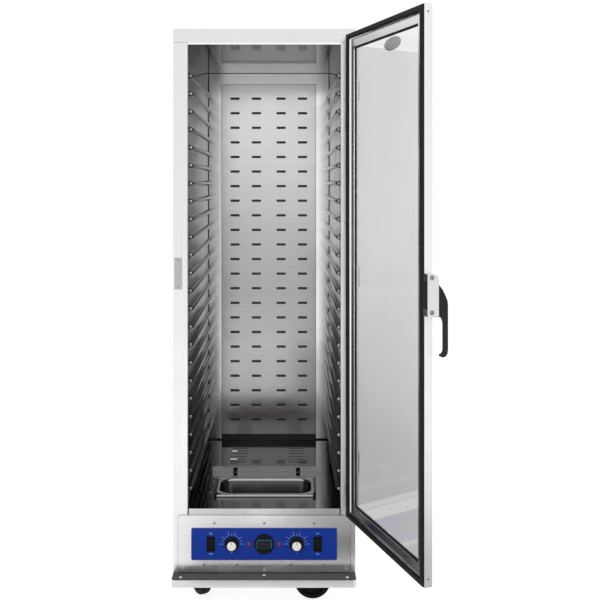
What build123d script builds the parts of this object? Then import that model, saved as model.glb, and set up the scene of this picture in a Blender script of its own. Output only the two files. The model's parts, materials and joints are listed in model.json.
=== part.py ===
from build123d import *
import os
from math import cos, pi, radians, sin

# Upright heated holding cabinet on casters, with a glazed door that stands open.
# Millimetres, +Z up. The front of the casing is the plane Y = 0 and the door is on the -Y side.
# The origin is on the floor, under the middle of the casing's front face.

# Casing
CASE_W = 560.0
CASE_D = 815.0
CASE_TOP_Z = 1792.0
CASE_BASE_Z = 121.0
CAP_H = 41.5
CAP_SEAM = 0.5
SHEET = 1.2
STILE_W = 45.7
STILE_RETURN = 18.0
BACK_FLANGE = 16.0
TOUCH_GAP = 0.3

# Cavity
CAVITY_W = 468.6
CAVITY_D = 770.0
CAVITY_TOP_Z = 1744.3
FLOOR_Z = 317.5

# Pan slides
RIB_COUNT = 24
RIB_TOP_Z = 1655.0
RIB_PITCH = 56.3
RIB_BASE = 16.0
RIB_REACH = 11.0
RIB_TIP = 4.0
RIB_START_Y = 55.0
RIB_END_GAP = 2.0
RIB_HIP = 12.0

# Slotted air duct on the back wall
DUCT_W = 364.0
DUCT_TOP_Z = 1700.0
DUCT_BOTTOM_Z = 343.0
DUCT_DEPTH = 15.0
SLOT_COLUMNS = (-131.0, -48.0, 48.0, 131.0)
SLOT_ROWS = 23
SLOT_TOP_Z = 1645.0
SLOT_PITCH = 56.6
SLOT_L = 35.0
SLOT_H = 7.0

# Cavity floor
FLOOR_SIDE_GAP = 5.0
LIP_H = 20.0
LIP_SIDE_GAP = 2.0
FLOOR_REAR_Y = 752.0
VENT_X = 105.0
VENT_COUNT = 6
VENT_FIRST_Y = 482.0
VENT_PITCH = 34.0
VENT_L = 58.0
VENT_W = 9.0

# Water pan and the well that holds it
PAN_W = 325.0
PAN_D = 176.0
PAN_Y = 186.5
PAN_RIM_Z = 327.0
PAN_RIM_CUT = 7.0
PAN_LIP = 7.5
PAN_SHEET = 1.0
BASIN_W = 300.0
BASIN_D = 150.0
BASIN_CUT = 13.0
BASIN_DEPTH = 65.0
BASIN_TAPER = 9.0
WELL_GAP = 2.0
WELL_FLANGE = 5.0
PAN_HEATER_H = 12.0
PAN_HEATER_INSET = 18.0

# Sensor guard on the floor behind the pan
GUARD_HALF_W = 188.0
GUARD_Y = 366.0
GUARD_H = 18.0
GUARD_FOOT = 20.0
CLIP_X = 108.5
CLIP_W = 14.0
CLIP_REACH = 20.0
BULB_R = 4.0
BULB_L = 120.0
BULB_X = 62.0

# Base frame with the front ledge, base pan and caster rails
LEDGE_REACH = 57.0
BASE_H = 22.5
BASE_SHEET = 2.0
BASE_CORNER_R = 14.0
BASE_RING_SIDE = 30.0
BASE_RING_FRONT = 82.0
PLATE_TOP_Z = 152.0
RAIL_W = 116.0
RAIL_H = 24.0
RAIL_T = 2.5

# Control panel
PANEL_W = 530.0
PANEL_BOTTOM_Z = 122.5
PANEL_TOP_Z = 297.3
PANEL_T = 2.0
PANEL_R = 6.0
LABEL_W = 449.0
LABEL_H = 100.0
LABEL_R = 6.0
LABEL_T = 0.3
CONTROL_Z = 209.3
KNOB_X = 99.5
LAMP_X = 46.2
ROCKER_X = 163.9
PANEL_SCREW_TOP_X = (-153.5, 0.0, 153.5)
PANEL_SCREW_TOP_Z = 272.8
PANEL_SCREW_LOW_X = (-184.0, -82.5, 82.5, 184.0)
PANEL_SCREW_LOW_Z = 146.2
SCREW_HEAD_R = 3.6
SCREW_HEAD_H = 1.6

# Knobs and thermostats
KNOB_SKIRT_R = 22.4
KNOB_SKIRT_H = 4.0
KNOB_BODY_R = 16.3
KNOB_H = 19.0
KNOB_STANDOFF = 0.6
SHAFT_R = 3.0
SHAFT_FIT = 0.05
BUSH_R = 5.0
THERMOSTAT_W = 42.0
THERMOSTAT_H = 34.0
THERMOSTAT_D = 30.0

# Rocker switches
ROCKER_BEZEL_W = 26.0
ROCKER_BEZEL_H = 47.0
ROCKER_BEZEL_T = 2.0
ROCKER_BODY_W = 22.5
ROCKER_BODY_H = 43.5
ROCKER_BODY_D = 30.0
ROCKER_W = 17.5
ROCKER_R = 19.0
ROCKER_TURN = 18.0
ROCKER_APEX = 9.0
ROCKER_PROUD = 2.0
ROCKER_GAP = 0.6
ROCKER_PIN_R = 2.0

# Lamps and thermometer
LAMP_R = 5.8
LAMP_BODY_R = 4.8
LAMP_BODY_L = 22.0
LAMP_DOME = 4.0
DIAL_R = 31.0
DIAL_T = 4.0
DIAL_BODY_R = 26.0
DIAL_BODY_L = 24.0
WINDOW_W = 45.0
WINDOW_H = 25.0
WINDOW_DEPTH = 1.2
WINDOW_GAP = 0.2

# Door
DOOR_W = 524.6
DOOR_BOTTOM_Z = 305.0
DOOR_TOP_Z = 1770.0
DOOR_T = 22.0
DOOR_OPEN = 107.8
HINGE_X = 275.0
HINGE_Y = -30.0
DOOR_EDGE_X = 276.4
DOOR_FACE_Y = -29.0
RAIL_FACE = 44.0
GASKET_SEAT = 18.0
SEAT_BEVEL = 4.0
STEP_DROP = 4.0
GLASS_T = 4.0
GLASS_FRONT = 9.0
GLASS_BITE = 8.0
SEAL_T = 1.2
SEAL_LIP = 5.0
SEAL_CLEAR = 0.3
GASKET_W = 15.0
GASKET_T = 6.5
GASKET_INSET = 2.0
BADGE_W = 110.0
BADGE_H = 36.0
BADGE_T = 1.0
BADGE_FROM_HINGE = 307.0
BADGE_Z = 1699.0

# Door hinges
HINGE_ZS = (480.0, 1037.0, 1594.0)
KNUCKLE_R = 6.5
KNUCKLE_L = 30.0
KNUCKLE_GAP = 0.4
HINGE_PIN_R = 3.0
HINGE_PIN_FIT = 0.05
HINGE_PIN_HEAD_R = 5.0
HINGE_PIN_HEAD_H = 2.5
LEAF_T = 2.5
LEAF_L = 34.0
LEAF_FREE = 9.5
KNUCKLE_CLEAR = 0.6

# Magnetic latch on the door's free edge
LATCH_Z = 1040.0
LATCH_H = 106.0
LATCH_GAP = 0.3
LATCH_W = 26.0
LATCH_FRONT = 5.0
LATCH_BACK = 26.0
LATCH_CORNER_R = 16.0
LEVER_ROOM = 16.0
MAGNET_SEAT = 18.0
MAGNET_H = 69.0
MAGNET_W = 22.0
MAGNET_FACE = 26.8
LEVER_W = 20.0
LEVER_SLOT_TOP_Z = 1072.0
LEVER_PIVOT_Y = 2.0
LEVER_PIVOT_Z = 1046.0
LEVER_PIVOT_R = 3.0
LEVER_PIVOT_FIT = 0.05
LEVER_SIDE = (
    (-4.0, 1069.0),
    (-10.5, 1061.5),
    (-18.0, 1052.2),
    (-27.0, 1034.8),
    (-31.2, 1024.0),
    (-32.3, 1014.0),
    (-32.3, 900.5),
    (-31.0, 893.0),
    (-27.5, 887.5),
    (-22.5, 884.2),
    (-17.0, 883.4),
    (-15.5, 885.5),
    (-16.5, 889.5),
    (-21.0, 891.2),
    (-24.6, 895.5),
    (-25.6, 901.0),
    (-25.6, 965.0),
    (-24.5, 972.0),
    (-21.5, 978.5),
    (-16.0, 983.5),
    (-9.0, 985.3),
    (8.0, 985.3),
    (8.0, 1069.0),
)
STRIKE_X = -264.2
STRIKE_Z = 1040.0
STRIKE_W = 24.0
STRIKE_H = 98.0
STRIKE_T = 1.5
STRIKE_SCREW_REACH = 41.0
STRIKE_HEAD_H = 0.4

# Casters
CASTER_X = 189.0
CASTER_FRONT_Y = 100.0
CASTER_REAR_INSET = 94.0
CASTER_YAWS = {
    "front_left": 118.0,
    "front_right": 178.0,
    "rear_left": 35.0,
    "rear_right": 140.0,
}
WHEEL_R = 58.0
WHEEL_W = 32.0
WHEEL_HUB_R = 42.0
WHEEL_HUB_INSET = 7.0
TYRE_FIT = 0.05
WHEEL_SIDES = 20
CASTER_TRAIL = 38.0
AXLE_R = 5.0
AXLE_FIT = 0.05
FORK_T = 3.0
FORK_SIDE_GAP = 2.0
FORK_LEG_TOP = 40.0
FORK_LEG_LOW_R = 13.0
CROWN_Z = 119.5
RACE_GAP = 0.4
RACE_R = 25.0
RACE_H = 10.0
KINGPIN_R = 6.0
KINGPIN_FIT = 0.05
KINGPIN_HEAD_R = 9.0
KINGPIN_HEAD_H = 4.0
PLATE_L = 96.0
PLATE_W = 80.0
PLATE_T = 4.0
BOLT_X = 74.0
BOLT_Y = 56.0
BOLT_HALF = 4.0
BOLT_FIT = 0.3
BOLT_HEAD_R = 6.5
BOLT_HEAD_H = 5.0

# Blower and heaters under the floor
BLOWER_Y = 580.0
SCROLL_R = 92.0
SCROLL_H = 58.0
SCROLL_Z = 200.0
BLOWER_INLET_R = 48.0
FAN_R = 78.0
FAN_H = 42.0
FAN_HUB_R = 14.0
FAN_BLADES = 8
FAN_BLADE_T = 1.5
FAN_BLADE_L = 26.0
FAN_BLADE_TURN = 30.0
FAN_DISC_T = 2.0
MOTOR_R = 36.0
MOTOR_SHAFT_R = 4.0
MOTOR_SHAFT_FIT = 0.05
MOTOR_SHAFT_OUT = 34.0
OUTLET_W = 78.0
HEATER_TUBE_R = 4.0
HEATER_RING_R = 64.0
HEATER_GAP = 40.0
TERMINAL_L = 90.0
TERMINAL_W = 26.0
TERMINAL_H = 18.0
TERMINAL_X = -190.0
TERMINAL_Y = 420.0
GLAND_X = 170.0
GLAND_Z = 205.0
GLAND_R = 11.0
GLAND_FLANGE_R = 15.0
GLAND_FLANGE_T = 4.0
GLAND_BORE_R = 5.0
GLAND_OUT = 22.0
GLAND_IN = 12.0
LOUVRE_COUNT = 6
LOUVRE_L = 90.0
LOUVRE_H = 6.0
LOUVRE_PITCH = 16.0
LOUVRE_Z = 180.0

# Ledge and floor screws
LEDGE_SCREW_SIDE_X = 253.0
LEDGE_SCREW_SIDE_Y = -36.0
LEDGE_SCREW_MID_Y = -21.0
LEDGE_SCREW_R = 5.0
LEDGE_SCREW_H = 2.6
FLOOR_SCREW_X = 177.0
FLOOR_SCREW_YS = (150.0, 268.0)

# Values worked out from the sizes above
HALF_W = CASE_W / 2
HALF_CAVITY = CAVITY_W / 2
SEAM_Z = CASE_TOP_Z - CAP_H
SIDE_IN = HALF_W - SHEET
LINER_OUT = HALF_CAVITY + SHEET
UNDERFLOOR_Z = FLOOR_Z - SHEET
DUCT_Y = CAVITY_D - DUCT_DEPTH
PANEL_FACE_Y = -PANEL_T
LABEL_FACE_Y = PANEL_FACE_Y - LABEL_T
DOOR_H = DOOR_TOP_Z - DOOR_BOTTOM_Z
DOOR_MID_Z = (DOOR_TOP_Z + DOOR_BOTTOM_Z) / 2
DOOR_FREE_X = DOOR_EDGE_X - DOOR_W
DOOR_MID_X = DOOR_EDGE_X - DOOR_W / 2
DOOR_BACK_Y = DOOR_FACE_Y + DOOR_T
GASKET_FACE_Y = DOOR_BACK_Y + GASKET_T
WELL_RIM_Z = PAN_RIM_Z - PAN_SHEET - TOUCH_GAP
WELL_BOTTOM_Z = PAN_RIM_Z - BASIN_DEPTH - PAN_SHEET - WELL_GAP
CASTER_REAR_Y = CASE_D - CASTER_REAR_INSET
CASTER_SPOTS = {
    "front_left": (-CASTER_X, CASTER_FRONT_Y),
    "front_right": (CASTER_X, CASTER_FRONT_Y),
    "rear_left": (-CASTER_X, CASTER_REAR_Y),
    "rear_right": (CASTER_X, CASTER_REAR_Y),
}
RAIL_FLOOR_Z = PLATE_TOP_Z + BASE_SHEET
LEVER_X = DOOR_FREE_X - LATCH_GAP - LATCH_W / 2
ROCKER_PIVOT_Y = LABEL_FACE_Y - ROCKER_BEZEL_T - ROCKER_PROUD + ROCKER_APEX

os.makedirs("parts", exist_ok=True)


def save(name, *solids):
    """Write one node: a single solid, or several separate solids as one group."""
    shape = solids[0] if len(solids) == 1 else Compound(children=list(solids))
    export_step(shape, f"parts/{name}.step")


def block(x0, x1, y0, y1, z0, z1):
    """Box between two corners."""
    size = Box(x1 - x0, y1 - y0, z1 - z0)
    return Pos((x0 + x1) / 2, (y0 + y1) / 2, (z0 + z1) / 2) * size


def rod(x, y, z0, z1, r):
    """Upright cylinder between two heights."""
    return Pos(x, y, (z0 + z1) / 2) * Cylinder(r, z1 - z0)


def rod_y(x, z, y0, y1, r):
    """Cylinder along Y."""
    return Pos(x, (y0 + y1) / 2, z) * (Rot(90, 0, 0) * Cylinder(r, y1 - y0))


def rod_x(y, z, x0, x1, r):
    """Cylinder along X."""
    return Pos((x0 + x1) / 2, y, z) * (Rot(0, 90, 0) * Cylinder(r, x1 - x0))


def bar_y(x, z, y0, y1, r, sides):
    """Regular prism along Y, for round pieces that nobody sees."""
    prism = extrude(RegularPolygon(r, sides, rotation=180 / sides), y1 - y0)
    return Pos(x, y1, z) * (Rot(90, 0, 0) * prism)


def bar_z(x, y, z0, z1, r, sides):
    """Upright regular prism, for round pieces that nobody sees."""
    return Pos(x, y, z0) * extrude(RegularPolygon(r, sides, rotation=180 / sides), z1 - z0)


def front_plate(w, h, r, x, z, y_front, t):
    """Upright plate with rounded corners, its face towards -Y at y_front."""
    sketch = RectangleRounded(w, h, r)
    plate = extrude(sketch, t)
    return Pos(x, y_front + t, z) * (Rot(90, 0, 0) * plate)


def flat_plate(w, d, r, x, y, z, t):
    """Level plate with rounded corners, from z up."""
    return Pos(x, y, z) * extrude(RectangleRounded(w, d, r), t)


def mirror_x(shape):
    """The same shape on the other side of the plane X = 0."""
    return mirror(shape, about=Plane.YZ)


def screw_head(x, y, z, head_r, head_h, facing):
    """Low screw head that sits on the point and faces -Y or +Z."""
    head = extrude(RegularPolygon(head_r, 6), head_h)
    turn = Rot(90, 0, 0) if facing == "front" else Rot(0, 0, 0)
    return Pos(x, y, z) * (turn * head)


# Casing


def side_panel():
    """Left outer skin: side, front stile, its return and the rear flange, folded from one sheet."""
    z0, z1 = CASE_BASE_Z, SEAM_Z - CAP_SEAM
    inner = -HALF_W + STILE_W - SHEET - TOUCH_GAP
    side = block(-HALF_W, -SIDE_IN, 0, CASE_D, z0, z1)
    stile = block(-HALF_W, inner, 0, SHEET, z0, z1)
    fold = block(inner - SHEET, inner, 0, STILE_RETURN, z0, z1)
    flange = block(-HALF_W, -HALF_W + BACK_FLANGE, CASE_D - SHEET, CASE_D, z0, z1)
    return side + stile + fold + flange


def strike_screw_spots():
    """Places of the two screws of the strike plate."""
    return [(STRIKE_X, STRIKE_Z + side * STRIKE_SCREW_REACH) for side in (-1, 1)]


def panel_screw_spots():
    """Places of the screws that hold the control panel."""
    top = [(x, PANEL_SCREW_TOP_Z) for x in PANEL_SCREW_TOP_X]
    return top + [(x, PANEL_SCREW_LOW_Z) for x in PANEL_SCREW_LOW_X]


def make_casing():
    """Outer skins: two sides, cap and back."""
    left = side_panel()
    save("left_side_panel", left)
    save("right_side_panel", mirror_x(left))

    outer = block(-HALF_W, HALF_W, 0, CASE_D, SEAM_Z, CASE_TOP_Z)
    outer = fillet(outer.edges().filter_by(Axis.Z), SHEET)
    hollow = block(-SIDE_IN, SIDE_IN, SHEET, CASE_D - SHEET, SEAM_Z - SHEET, CASE_TOP_Z - SHEET)
    save("top_cap", outer - hollow)

    y0 = CASE_D - SHEET - TOUCH_GAP
    reach = SIDE_IN - TOUCH_GAP
    back = block(-reach, reach, y0 - SHEET, y0, CASE_BASE_Z, SEAM_Z - CAP_SEAM)
    for i in range(LOUVRE_COUNT):
        slot = extrude(Rectangle(LOUVRE_L, LOUVRE_H), 4 * SHEET, both=True)
        back -= Pos(-GLAND_X, y0, LOUVRE_Z + i * LOUVRE_PITCH) * (Rot(90, 0, 0) * slot)
    back -= rod_y(GLAND_X, GLAND_Z, y0 - 3 * SHEET, y0 + SHEET, GLAND_R + TOUCH_GAP)
    save("back_panel", back)


def slide():
    """One pan slide at the origin's height, hipped at the front."""
    x0 = -HALF_CAVITY
    half = RIB_BASE / 2
    tip = RIB_TIP / 2
    points = [(x0, half), (x0 + RIB_REACH, tip), (x0 + RIB_REACH, -tip), (x0, -half)]
    y_end = CAVITY_D - RIB_END_GAP
    section = Plane(origin=(0, y_end, 0), x_dir=(1, 0, 0), z_dir=(0, -1, 0))
    strip = extrude(section * make_face(Polyline(*points, close=True)), y_end - RIB_START_Y)
    hip = Plane(origin=(x0, RIB_START_Y, 0), z_dir=(-RIB_HIP, RIB_REACH, 0))
    return split(strip, bisect_by=hip, keep=Keep.TOP)


def slide_wall():
    """Left cavity wall and the row of pan slides on it."""
    y1 = CAVITY_D - TOUCH_GAP
    wall = block(-LINER_OUT, -HALF_CAVITY, SHEET + TOUCH_GAP, y1, UNDERFLOOR_Z, CAVITY_TOP_Z)
    strip = slide()
    return [wall] + [Pos(0, 0, RIB_TOP_Z - i * RIB_PITCH) * strip for i in range(RIB_COUNT)]


def make_cavity():
    """Cavity lining: slide walls, liner and insulation."""
    left = slide_wall()
    save("left_slide_wall", *left)
    save("right_slide_wall", *[mirror_x(piece) for piece in left])

    header_y = SHEET + TOUCH_GAP
    roof_z = CAVITY_TOP_Z + SHEET
    roof = block(-LINER_OUT, LINER_OUT, header_y, CAVITY_D + SHEET, CAVITY_TOP_Z, roof_z)
    rear = block(-LINER_OUT, LINER_OUT, CAVITY_D, CAVITY_D + SHEET, UNDERFLOOR_Z, roof_z)
    header_z = CASE_TOP_Z - SHEET - TOUCH_GAP
    header = block(-LINER_OUT, LINER_OUT, header_y, header_y + SHEET, CAVITY_TOP_Z, header_z)
    save("inner_liner", roof + rear + header)

    g = TOUCH_GAP
    z0 = UNDERFLOOR_Z
    z1 = CAVITY_TOP_Z + SHEET
    side_y0 = STILE_RETURN + g
    rear_y = CASE_D - 2 * SHEET - TOUCH_GAP
    side = block(-SIDE_IN + g, -LINER_OUT - g, side_y0, CAVITY_D + SHEET, z0, SEAM_Z - CAP_SEAM)
    back = block(-LINER_OUT + g, LINER_OUT - g, CAVITY_D + SHEET + g, rear_y - g, z0, z1)
    roof_y = header_y + SHEET + g
    top = block(-LINER_OUT + g, LINER_OUT - g, roof_y, rear_y - g, z1 + g, CASE_TOP_Z - SHEET - g)
    save("insulation", side, mirror_x(side), back, top)


def make_duct():
    """Slotted sheet duct on the back wall, with folded sides and top."""
    half = DUCT_W / 2
    y1 = CAVITY_D - TOUCH_GAP
    face = block(-half, half, DUCT_Y, DUCT_Y + SHEET, DUCT_BOTTOM_Z, DUCT_TOP_Z)
    left = block(-half, -half + SHEET, DUCT_Y, y1, DUCT_BOTTOM_Z, DUCT_TOP_Z)
    top = block(-half, half, DUCT_Y, y1, DUCT_TOP_Z - SHEET, DUCT_TOP_Z)
    duct = face + left + mirror_x(left) + top
    outlines = Sketch() + [
        Pos(x, SLOT_TOP_Z - i * SLOT_PITCH) * Rectangle(SLOT_L, SLOT_H)
        for i in range(SLOT_ROWS)
        for x in SLOT_COLUMNS
    ]
    cut = extrude(Plane.XZ * outlines, 2 * SHEET, both=True)
    save("air_duct_panel", duct - Pos(0, DUCT_Y, 0) * cut)


def floor_screw_spots():
    """Places of the floor hold-down screws."""
    return [(s * FLOOR_SCREW_X, y) for s in (-1, 1) for y in FLOOR_SCREW_YS]


def make_floor():
    """Cavity floor with its front lip, vent slots and the opening for the pan well."""
    half = HALF_CAVITY - FLOOR_SIDE_GAP
    lip_half = HALF_CAVITY - LIP_SIDE_GAP
    floor = block(-half, half, 0, FLOOR_REAR_Y, UNDERFLOOR_Z, FLOOR_Z)
    floor += block(-lip_half, lip_half, 0, SHEET, FLOOR_Z - LIP_H, FLOOR_Z)
    w = BASIN_W / 2 + WELL_GAP + SHEET + TOUCH_GAP
    d = BASIN_D / 2 + WELL_GAP + SHEET + TOUCH_GAP
    floor -= block(-w, w, PAN_Y - d, PAN_Y + d, UNDERFLOOR_Z - SHEET, FLOOR_Z + SHEET)
    vent = extrude(Rectangle(VENT_L, VENT_W), 2 * SHEET, both=True)
    for s in (-1, 1):
        for i in range(VENT_COUNT):
            floor -= Pos(s * VENT_X, VENT_FIRST_Y + i * VENT_PITCH, UNDERFLOOR_Z) * vent
    save("floor_plate", floor)


def cut_corners(w, d, c):
    """Rectangle with its corners cut at 45 degrees."""
    outline = Rectangle(w, d)
    return chamfer(outline.vertices(), c)


def basin(grow, top_z, bottom_z):
    """Tapered tub shape with cut corners, grown on every side."""
    top = cut_corners(BASIN_W + 2 * grow, BASIN_D + 2 * grow, BASIN_CUT)
    low_w = BASIN_W - 2 * BASIN_TAPER + 2 * grow
    low_d = BASIN_D - 2 * BASIN_TAPER + 2 * grow
    low = cut_corners(low_w, low_d, BASIN_CUT)
    return loft([Pos(0, PAN_Y, bottom_z) * low, Pos(0, PAN_Y, top_z) * top])


def well():
    """Folded well that carries the pan, with a flange on the floor."""
    w = BASIN_W / 2 + WELL_GAP
    d = BASIN_D / 2 + WELL_GAP
    grown_w, grown_d = w + SHEET, d + SHEET
    collar = block(-grown_w, grown_w, PAN_Y - grown_d, PAN_Y + grown_d, WELL_BOTTOM_Z - SHEET, WELL_RIM_Z)
    flange_w, flange_d = grown_w + WELL_FLANGE, grown_d + WELL_FLANGE
    flange = block(-flange_w, flange_w, PAN_Y - flange_d, PAN_Y + flange_d, FLOOR_Z, FLOOR_Z + SHEET)
    return collar + flange - block(-w, w, PAN_Y - d, PAN_Y + d, WELL_BOTTOM_Z, WELL_RIM_Z + SHEET)


def make_pan():
    """Water pan with a turned-down rim, the well under it and the heater on the well."""
    under_rim = PAN_RIM_Z - PAN_SHEET
    lip_z = under_rim - PAN_LIP
    trim = 2 * PAN_SHEET
    rim = Pos(0, PAN_Y, lip_z) * extrude(cut_corners(PAN_W, PAN_D, PAN_RIM_CUT), PAN_LIP + PAN_SHEET)
    under = cut_corners(PAN_W - trim, PAN_D - trim, PAN_RIM_CUT)
    rim -= Pos(0, PAN_Y, lip_z) * extrude(under, PAN_LIP)
    inside_z = PAN_RIM_Z - BASIN_DEPTH
    tub = basin(0, under_rim, inside_z - PAN_SHEET) - basin(-PAN_SHEET, under_rim, inside_z)
    mouth = cut_corners(BASIN_W - 2 * PAN_SHEET, BASIN_D - 2 * PAN_SHEET, BASIN_CUT)
    rim -= Pos(0, PAN_Y, under_rim - PAN_SHEET) * extrude(mouth, 4 * PAN_SHEET)
    save("water_pan", rim + tub)

    save("pan_well", well())

    w = BASIN_W - 2 * PAN_HEATER_INSET
    d = BASIN_D - 2 * PAN_HEATER_INSET
    z1 = WELL_BOTTOM_Z - SHEET
    y0 = PAN_Y - d / 2
    save("pan_heater", block(-w / 2, w / 2, y0, y0 + d, z1 - PAN_HEATER_H, z1))


def clip_screw_spots():
    """Places of the screws that hold the two guard clips."""
    return [(s * CLIP_X, GUARD_Y - CLIP_REACH / 2) for s in (-1, 1)]


def make_guard():
    """Angle guard across the floor, its two clips and the thermostat bulbs behind it."""
    wall = block(-GUARD_HALF_W, GUARD_HALF_W, GUARD_Y, GUARD_Y + SHEET, FLOOR_Z, FLOOR_Z + GUARD_H)
    foot = block(-GUARD_HALF_W, GUARD_HALF_W, GUARD_Y, GUARD_Y + GUARD_FOOT, FLOOR_Z, FLOOR_Z + SHEET)
    save("sensor_guard", wall + foot)

    clips = []
    for x in (-CLIP_X, CLIP_X):
        x0, x1 = x - CLIP_W / 2, x + CLIP_W / 2
        tab = block(x0, x1, GUARD_Y - CLIP_REACH, GUARD_Y, FLOOR_Z, FLOOR_Z + SHEET)
        riser = block(x0, x1, GUARD_Y - SHEET, GUARD_Y, FLOOR_Z, FLOOR_Z + GUARD_H * 0.8)
        clips.append(tab + riser)
    save("guard_clips", *clips)

    y = GUARD_Y + SHEET + BULB_R + TOUCH_GAP
    z = FLOOR_Z + SHEET + BULB_R + TOUCH_GAP
    bulbs = []
    for x in (-BULB_X, BULB_X):
        bulb = extrude(RegularPolygon(BULB_R, 8), BULB_L / 2, both=True)
        bulbs.append(Pos(x, y, z) * (Rot(0, 90, 0) * bulb))
    save("sensor_bulbs", *bulbs)


def caster_bolt_spots():
    """Places of the sixteen bolts that hold the caster plates."""
    return [
        (x + sx * BOLT_X / 2, y + sy * BOLT_Y / 2)
        for x, y in CASTER_SPOTS.values()
        for sx in (-1, 1)
        for sy in (-1, 1)
    ]


def ledge_screw_spots():
    """Places of the pan-head screws on the front ledge."""
    side = [(s * LEDGE_SCREW_SIDE_X, LEDGE_SCREW_SIDE_Y) for s in (-1, 1)]
    return side + [(0.0, LEDGE_SCREW_MID_Y)]


def bolt_neck(x, y, z0, z1, grow=0.0):
    """Square neck of a caster bolt, or its hole when grown by the fit."""
    half = BOLT_HALF + grow
    return block(x - half, x + half, y - half, y + half, z0, z1)


def make_base():
    """Base frame with the front ledge, base pan and the two caster rails."""
    length = CASE_D + LEDGE_REACH
    mid_y = (CASE_D - LEDGE_REACH) / 2
    low_z = CASE_BASE_Z - BASE_H
    ring = flat_plate(CASE_W, length, BASE_CORNER_R, 0, mid_y, low_z, BASE_H)
    inner_w = CASE_W - 2 * BASE_SHEET
    inner_l = length - 2 * BASE_SHEET
    inner_r = BASE_CORNER_R - BASE_SHEET
    ring -= flat_plate(inner_w, inner_l, inner_r, 0, mid_y, low_z, BASE_H - BASE_SHEET)
    y0 = BASE_RING_FRONT - LEDGE_REACH
    y1 = CASE_D - BASE_RING_SIDE
    x1 = HALF_W - BASE_RING_SIDE
    ring -= block(-x1, x1, y0, y1, low_z, CASE_BASE_Z + BASE_SHEET)
    save("base_frame", ring)

    reach = SIDE_IN - TOUCH_GAP
    y_front = STILE_RETURN + TOUCH_GAP
    y_back = CASE_D - 2 * SHEET - 2 * TOUCH_GAP
    pan = block(-reach, reach, y_front, y_back, PLATE_TOP_Z, RAIL_FLOOR_Z)
    flange = block(-reach, -reach + BASE_SHEET, y_front, y_back, PLATE_TOP_Z, RAIL_FLOOR_Z + RAIL_H)
    pan += flange
    pan += mirror_x(flange)
    rails = []
    rail_reach = reach - BASE_SHEET - TOUCH_GAP
    for y in (CASTER_FRONT_Y, CASTER_REAR_Y):
        ya, yb = y - RAIL_W / 2, y + RAIL_W / 2
        bed = block(-rail_reach, rail_reach, ya, yb, RAIL_FLOOR_Z, RAIL_FLOOR_Z + RAIL_T)
        web = block(-rail_reach, rail_reach, ya, ya + RAIL_T, RAIL_FLOOR_Z, RAIL_FLOOR_Z + RAIL_H)
        rails.append(bed + web + Pos(0, RAIL_W - RAIL_T, 0) * web)
    for x, y in caster_bolt_spots():
        hole = bolt_neck(x, y, PLATE_TOP_Z - BOLT_HEAD_H, RAIL_FLOOR_Z + 2 * BOLT_HEAD_H, BOLT_FIT)
        pan -= hole
        rails = [r - hole for r in rails]
    save("base_pan", pan)
    save("caster_rails", *rails)


# Controls


def make_panel():
    """Control panel plate with its coloured label and every cut-out."""
    panel_z = (PANEL_TOP_Z + PANEL_BOTTOM_Z) / 2
    plate = front_plate(PANEL_W, PANEL_TOP_Z - PANEL_BOTTOM_Z, PANEL_R, 0, panel_z, PANEL_FACE_Y, PANEL_T)
    label = front_plate(LABEL_W, LABEL_H, LABEL_R, 0, CONTROL_Z, LABEL_FACE_Y, LABEL_T)
    y0, y1 = LABEL_FACE_Y - 1, 1
    cuts = [bar_y(s * KNOB_X, CONTROL_Z, y0, y1, BUSH_R + TOUCH_GAP, 8) for s in (-1, 1)]
    cuts += [bar_y(s * LAMP_X, CONTROL_Z, y0, y1, LAMP_BODY_R + 2 * TOUCH_GAP, 6) for s in (-1, 1)]
    cuts.append(bar_y(0, CONTROL_Z, y0, y1, DIAL_BODY_R + TOUCH_GAP, 12))
    half_w = ROCKER_BODY_W / 2 + TOUCH_GAP
    half_h = ROCKER_BODY_H / 2 + TOUCH_GAP
    for s in (-1, 1):
        x = s * ROCKER_X
        cuts.append(block(x - half_w, x + half_w, y0, y1, CONTROL_Z - half_h, CONTROL_Z + half_h))
    for cut in cuts:
        plate -= cut
        label -= cut
    save("control_panel", plate)
    save("control_label", label)


def knob(x):
    """Control knob with a wide skirt and a blind shaft bore."""
    y_back = LABEL_FACE_Y - KNOB_STANDOFF
    skirt = extrude(RegularPolygon(KNOB_SKIRT_R, 20), KNOB_SKIRT_H)
    grip = extrude(RegularPolygon(KNOB_BODY_R, 20), KNOB_H)
    bore = Cylinder(SHAFT_R + SHAFT_FIT, KNOB_H * 0.7, align=(Align.CENTER, Align.CENTER, Align.MIN))
    body = skirt + grip - bore
    return Pos(x, y_back, CONTROL_Z) * (Rot(90, 0, 0) * body)


def thermostat(x):
    """Thermostat body behind the panel, with its bush and shaft."""
    y1 = THERMOSTAT_D
    half_w = THERMOSTAT_W / 2
    half_h = THERMOSTAT_H / 2
    y_bush = LABEL_FACE_Y - KNOB_STANDOFF + 0.3
    body = block(x - half_w, x + half_w, TOUCH_GAP, y1, CONTROL_Z - half_h, CONTROL_Z + half_h)
    bush = bar_y(x, CONTROL_Z, y_bush, 1, BUSH_R, 8)
    shaft = rod_y(x, CONTROL_Z, LABEL_FACE_Y - KNOB_H * 0.6, 1, SHAFT_R)
    return body + bush + shaft


def rocker_profile(radius):
    """Side view of the rocker: a round back and a shallow V front, on its pivot."""
    half_v = radians(ROCKER_TURN / 2)
    reach = radius * cos(half_v)
    drop = ROCKER_APEX - radius * sin(half_v)
    front = [(-ROCKER_APEX, 0), (-drop, reach), (-drop, -reach)]
    arc_back = (radius * 0.45, 0)
    edge = Polyline(front[2], front[0], front[1])
    back = ThreePointArc(front[1], arc_back, front[2])
    return make_face(Curve() + [edge, back])


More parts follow.
